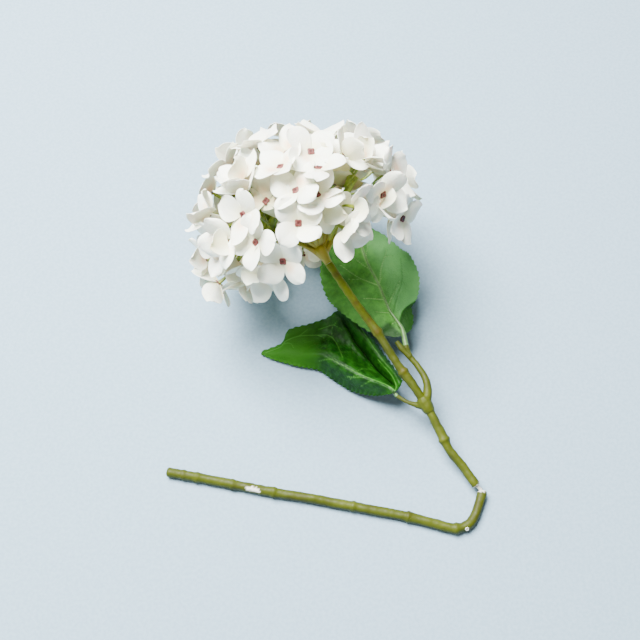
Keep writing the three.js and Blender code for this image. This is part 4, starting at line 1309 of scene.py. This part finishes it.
def build_leaf_2(sizes, cloth, rib_material):
    """Builds the second leaf, front upwards, and its rib."""
    length = 0.5 * (LEAF_2_NEAR.length + LEAF_2_FAR.length)

    def flat_at(share, across):
        return share * length, across * (LEAF_2_FAR.share(share) - LEAF_2_NEAR.share(share)).length

    veins = vein_paths(LEAF_2_VEINS, flat_at)

    def point_at(share, across):
        place, width = leaf_2_point(share, across, sizes)
        spot = Vector((share * length, across * width))
        vein = on_vein(veins, spot)
        ditch = on_vein(veins, spot, 5.0)
        ridge_at = value_at(LEAF_2_RIDGE, share)
        fold_at = value_at(LEAF_2_FOLD, share)
        between = smooth_step(ridge_at, ridge_at + 0.12, across)
        between *= 1 - smooth_step(fold_at - 0.08, fold_at, across)
        # Crumpled most between ridge and fold, and calmer at the tip
        wrinkle = noise.noise(Vector((spot.x / 6, spot.y / 5, 11.0)))
        wrinkle += 0.6 * noise.noise(Vector((spot.x / 2.6, spot.y / 2.4, 3.0)))
        swell = noise.noise(Vector((spot.x / 16, spot.y / 12, 6.0)))
        inside = min(1.0, 8 * across * (1 - across))
        tip = smooth_step(0.58, 0.72, share - 0.12 * (across - 0.5))
        place.z += inside * (0.8 * swell + (0.25 + 0.75 * between) * 0.42 * wrinkle * (1 - 0.6 * tip))
        place.z += inside * (0.35 * vein - 0.4 * ditch)
        # Painted shade below the ridge, in the fold and in the hollows of the wrinkles
        below = smooth_step(0.02, 0.12, ridge_at - across) * (1 - tip)
        crack = hill(across, fold_at, 0.03) * (1 - smooth_step(0.5, 0.62, share))
        dark = max(0.45 * below, 0.85 * crack, 0.4 * max(0.0, -wrinkle) * between)
        return place, 0.85 * vein, dark * (1 - tip), tip

    leaf = leaf_blade("second_leaf", LEAF_2_ROWS, point_at)
    finish_piece(leaf, cloth, "leaf_2")
    points = [Vector(LEAF_STALK_ROUTE[-1])]
    for share in LEAF_2_RIB_SHARES:
        place = leaf_2_point(share, value_at(LEAF_2_RIDGE, share) + 0.04, sizes)[0]
        place.z -= LEAF_2_RIB_DROP
        points.append(place)
    rib = tapered("second_leaf_rib", Route(points), LEAF_2_RIB_RADII, 40, 12)
    finish_piece(rib, rib_material, "leaf_2_rib")


# Stage

CAMERA_LENS = 56.25
CAMERA_RISE = 65.0
FLOOR_SIZE = 6.0
# The table lies a hair below the part, so that the two don't flicker where they touch.
FLOOR_DROP = 0.0003
# Name, place, size and colour of each softbox, in metres.
KEY = ("key_softbox", (-0.42, 0.36, 1.3), 0.8, "#ffffff")
FILL = ("fill_softbox", (-0.1, -1.1, 0.95), 1.0, "#fffdf6")
LIT_PLACE = Vector((0, 0, 0.04))


def soft_light(power, name, place, size, colour):
    """Adds a softbox that faces the piece."""
    data = bpy.data.lights.new(name, "AREA")
    data.size = size
    data.energy = power
    data.color = linear(colour)[:3]
    light = bpy.data.objects.new(name, data)
    light.location = place
    light.rotation_mode = "QUATERNION"
    light.rotation_quaternion = (LIT_PLACE - Vector(place)).to_track_quat("-Z", "Y")
    bpy.context.collection.objects.link(light)


def build_stage(look):
    """Adds the table, the lights, the surround and the camera."""
    deselect()
    bpy.ops.mesh.primitive_plane_add(size=FLOOR_SIZE, location=(0, 0, -FLOOR_DROP))
    floor = bpy.context.object
    floor.name = "table_top"
    apply_place(floor)
    floor.data.materials.append(table_cloth(look))
    soft_light(look.key_power, *KEY)
    soft_light(look.fill_power, *FILL)
    world = bpy.data.worlds.new("studio")
    bpy.context.scene.world = world
    world.use_nodes = True
    background = next(n for n in world.node_tree.nodes if n.type == "BACKGROUND")
    background.inputs["Color"].default_value = look.surround_colour
    background.inputs["Strength"].default_value = look.surround
    data = bpy.data.cameras.new("camera")
    data.lens = CAMERA_LENS
    data.sensor_width = 36.0
    data.clip_start = 0.01
    data.clip_end = 20.0
    camera = bpy.data.objects.new("camera", data)
    camera.location = (Vector(CAMERA_PLACE) + MIDDLE) * MM
    camera.rotation_euler = (math.radians(90 - CAMERA_RISE), 0, 0)
    bpy.context.collection.objects.link(camera)
    bpy.context.scene.camera = camera


# Settings

def colour_setting(name, value, description):
    """A colour setting whose default is a hex colour."""
    return bpy.props.FloatVectorProperty(
        name=name, description=description, default=linear(value), size=4, min=0.0, max=1.0,
        subtype="COLOR")


class HydrangeaSizes(bpy.types.PropertyGroup):
    """Sizes that a maker would change."""

    petal_reach: bpy.props.FloatProperty(
        name="Petal reach", description="From a floret's centre to a petal's tip",
        default=16.8 * MM, min=0.01, max=0.02, unit="LENGTH")
    petal_half_width: bpy.props.FloatProperty(
        name="Petal half width", description="Half of a petal's width at its widest",
        default=7.6 * MM, min=0.005, max=0.012, unit="LENGTH")
    eye_radius: bpy.props.FloatProperty(
        name="Eye radius", description="Radius of the moulded eye of a floret",
        default=2.4 * MM, min=0.001, max=0.004, unit="LENGTH")
    ring_height: bpy.props.FloatProperty(
        name="Ring height", description="How far the moulded rings stand out of the stem",
        default=0.55 * MM, min=0.0, max=0.002, unit="LENGTH")
    tooth_depth: bpy.props.FloatProperty(
        name="Leaf tooth", description="Depth of the teeth of the leaves' edges",
        default=1.1 * MM, min=0.0, max=0.003, unit="LENGTH")


class HydrangeaLook(bpy.types.PropertyGroup):
    """Colours and light that a maker would change."""

    petal: colour_setting("Petal", "#f7f8e9", "White of the petal cloth")
    petal_shade: colour_setting("Petal shade", "#efeeda", "Warmer white of some petals")
    petal_root: colour_setting("Petal root", "#dcd7a4", "Green-cream at the middle of a floret")
    petal_flush: colour_setting("Petal flush", "#efc4a0", "Peach flush beside some eyes")
    # Painted shade deep in the head, tinged green as painted bounce light from the stalks
    petal_deep_shade: colour_setting("Petal deep", "#b9b37a", "Cloth deep in the head, tinged by the stalks")
    eye: colour_setting("Eye", "#5a2825", "Dusty rose of the floret eyes")
    eye_light: colour_setting("Eye light", "#7e4a44", "Lighter rose of the floret eyes")
    eye_dark: colour_setting("Eye dimple", "#220606", "Dark middle of the floret eyes")
    stalk: colour_setting("Stalk", "#8a9826", "Yellow-green of the floret stalks")
    stalk_dark: colour_setting("Stalk dark", "#5c6b14", "Darker green of the floret stalks")
    # The hub's orange-olive is painted lighter than its own colour, as painted light against the head's
    # shade
    hub: colour_setting("Hub", "#9c8812", "Orange-olive of the hub")
    stem: colour_setting("Stem", "#3b4307", "Olive of the stem coat")
    stem_light: colour_setting("Stem light", "#474e0b", "Lighter olive of the stem coat")
    stem_dark: colour_setting("Stem dark", "#343706", "Browner olive of the stem coat")
    # Also painted lighter than the stem's own colour, as painted light where the head's shadow falls
    stem_warm_and_lit: colour_setting("Stem near the head", "#76800f", "Yellower olive towards the head")
    stem_stain: colour_setting("Stem stain", "#4a2c0c", "Red-brown spots of the stem coat")
    stem_worn: colour_setting("Stem worn", "#e9e8df", "Scraped and torn edges of the coat")
    wire: colour_setting("Wire", "#e6e4dc", "Pale steel of the bare wire")
    wire_dark: colour_setting("Wire dark", "#b9b7b0", "Greyer streaks of the bare wire")
    # Painted shade of the first leaf: its folded-down corners, its crease and its vein ditches
    back_dark: colour_setting("Leaf back, dark", "#103c00", "The darker face that a fold shows")
    back_body: colour_setting("Leaf back", "#2f6a14", "Green of the first leaf's back")
    back_light: colour_setting("Leaf back, light", "#468a2a", "Its lighter patches")
    back_vein: colour_setting("Leaf back, veins", "#8cb66c", "Its pressed veins")
    # Painted light: the first leaf's right half is painted paler in this colour
    back_pale: colour_setting("Leaf back, faded", "#5e9a58", "Where its print is rubbed pale")
    # Painted shade below the second leaf's ridge, in its fold and in its wrinkles
    front_dark: colour_setting("Leaf front, dark", "#041602", "Creases of the second leaf's front")
    front_body: colour_setting("Leaf front", "#0a3003", "Green of the second leaf's front")
    front_light: colour_setting("Leaf front, light", "#1f540f", "Its lighter patches")
    front_vein: colour_setting("Leaf front, veins", "#4f8a38", "Its pressed veins")
    # The second leaf's tip is paler in this colour
    front_pale: colour_setting("Leaf front, tip", "#225608", "Its rubbed, flatter tip")
    rib: colour_setting("Rib", "#5e8646", "Pale green of the leaf ribs")
    rib_dark: colour_setting("Rib dark", "#466a2c", "Darker green of the leaf ribs")
    table: colour_setting("Table", "#8ca6b6", "Pale grey-blue of the table")
    table_dark: colour_setting("Table dark", "#849eaf", "Faintly darker threads of the table")
    key_power: bpy.props.FloatProperty(
        name="Key light", description="Power of the key softbox", default=152.0, min=0.0, unit="POWER")
    fill_power: bpy.props.FloatProperty(
        name="Fill light", description="Power of the fill softbox", default=6.0, min=0.0, unit="POWER")
    surround_colour: colour_setting("Surround colour", "#eef0ee", "Pale grey of the surround")
    surround: bpy.props.FloatProperty(
        name="Surround", description="Brightness of the pale surround", default=0.13, min=0.0)


class HYDRANGEA_OT_florets(bpy.types.Operator):
    """Add the white cloth florets and their eyes"""
    bl_idname = "hydrangea.florets"
    bl_label = "Add florets"

    def execute(self, context):
        sizes, look = context.scene.hydrangea_sizes, context.scene.hydrangea_look
        build_florets(sizes, petal_cloth(look))
        build_eyes(sizes, floret_eye_plastic(look))
        return {"FINISHED"}


class HYDRANGEA_OT_spray(bpy.types.Operator):
    """Add the green spray that carries the florets"""
    bl_idname = "hydrangea.spray"
    bl_label = "Add spray"

    def execute(self, context):
        build_spray(spray_plastic(context.scene.hydrangea_look))
        return {"FINISHED"}


class HYDRANGEA_OT_stem(bpy.types.Operator):
    """Add the coated stem, its bare wire and the collar of the leaves"""
    bl_idname = "hydrangea.stem"
    bl_label = "Add stem"

    def execute(self, context):
        look = context.scene.hydrangea_look
        plastic = stem_plastic(look)
        build_stem(context.scene.hydrangea_sizes, plastic, drawn_wire(look))
        build_collar(plastic)
        return {"FINISHED"}


class HYDRANGEA_OT_leaves(bpy.types.Operator):
    """Add both cloth leaves and their moulded ribs"""
    bl_idname = "hydrangea.leaves"
    bl_label = "Add leaves"

    def execute(self, context):
        sizes, look = context.scene.hydrangea_sizes, context.scene.hydrangea_look
        rib = rib_plastic(look)
        build_leaf_1(sizes, leaf_cloth(look, "back", BACK_GLOSS, BACK_SHINE), rib)
        build_leaf_2(sizes, leaf_cloth(look, "front", FRONT_GLOSS, FRONT_SHINE), rib)
        return {"FINISHED"}


class HYDRANGEA_OT_stage(bpy.types.Operator):
    """Add the table, the lights and the camera"""
    bl_idname = "hydrangea.stage"
    bl_label = "Add stage"

    def execute(self, context):
        build_stage(context.scene.hydrangea_look)
        return {"FINISHED"}


class HYDRANGEA_PT_panel(bpy.types.Panel):
    """Lists the steps in the 3D view's sidebar"""
    bl_idname = "HYDRANGEA_PT_panel"
    bl_label = "Hydrangea stem"
    bl_space_type = "VIEW_3D"
    bl_region_type = "UI"
    bl_category = "Hydrangea"

    def draw(self, context):
        for group in (context.scene.hydrangea_sizes, context.scene.hydrangea_look):
            for name in group.__annotations__:
                self.layout.prop(group, name)
        for operator in OPERATORS:
            self.layout.operator(operator.bl_idname)


OPERATORS = (
    HYDRANGEA_OT_stem, HYDRANGEA_OT_leaves, HYDRANGEA_OT_spray, HYDRANGEA_OT_florets,
    HYDRANGEA_OT_stage,
)
CLASSES = (HydrangeaSizes, HydrangeaLook, *OPERATORS, HYDRANGEA_PT_panel)


def register():
    for item in CLASSES:
        bpy.utils.register_class(item)
    bpy.types.Scene.hydrangea_sizes = bpy.props.PointerProperty(type=HydrangeaSizes)
    bpy.types.Scene.hydrangea_look = bpy.props.PointerProperty(type=HydrangeaLook)


def unregister():
    del bpy.types.Scene.hydrangea_look
    del bpy.types.Scene.hydrangea_sizes
    for item in reversed(CLASSES):
        bpy.utils.unregister_class(item)


def main():
    """Builds everything in order."""
    register()
    bpy.ops.hydrangea.stem()
    bpy.ops.hydrangea.leaves()
    bpy.ops.hydrangea.spray()
    bpy.ops.hydrangea.florets()
    bpy.ops.hydrangea.stage()


if __name__ == "__main__":
    main()
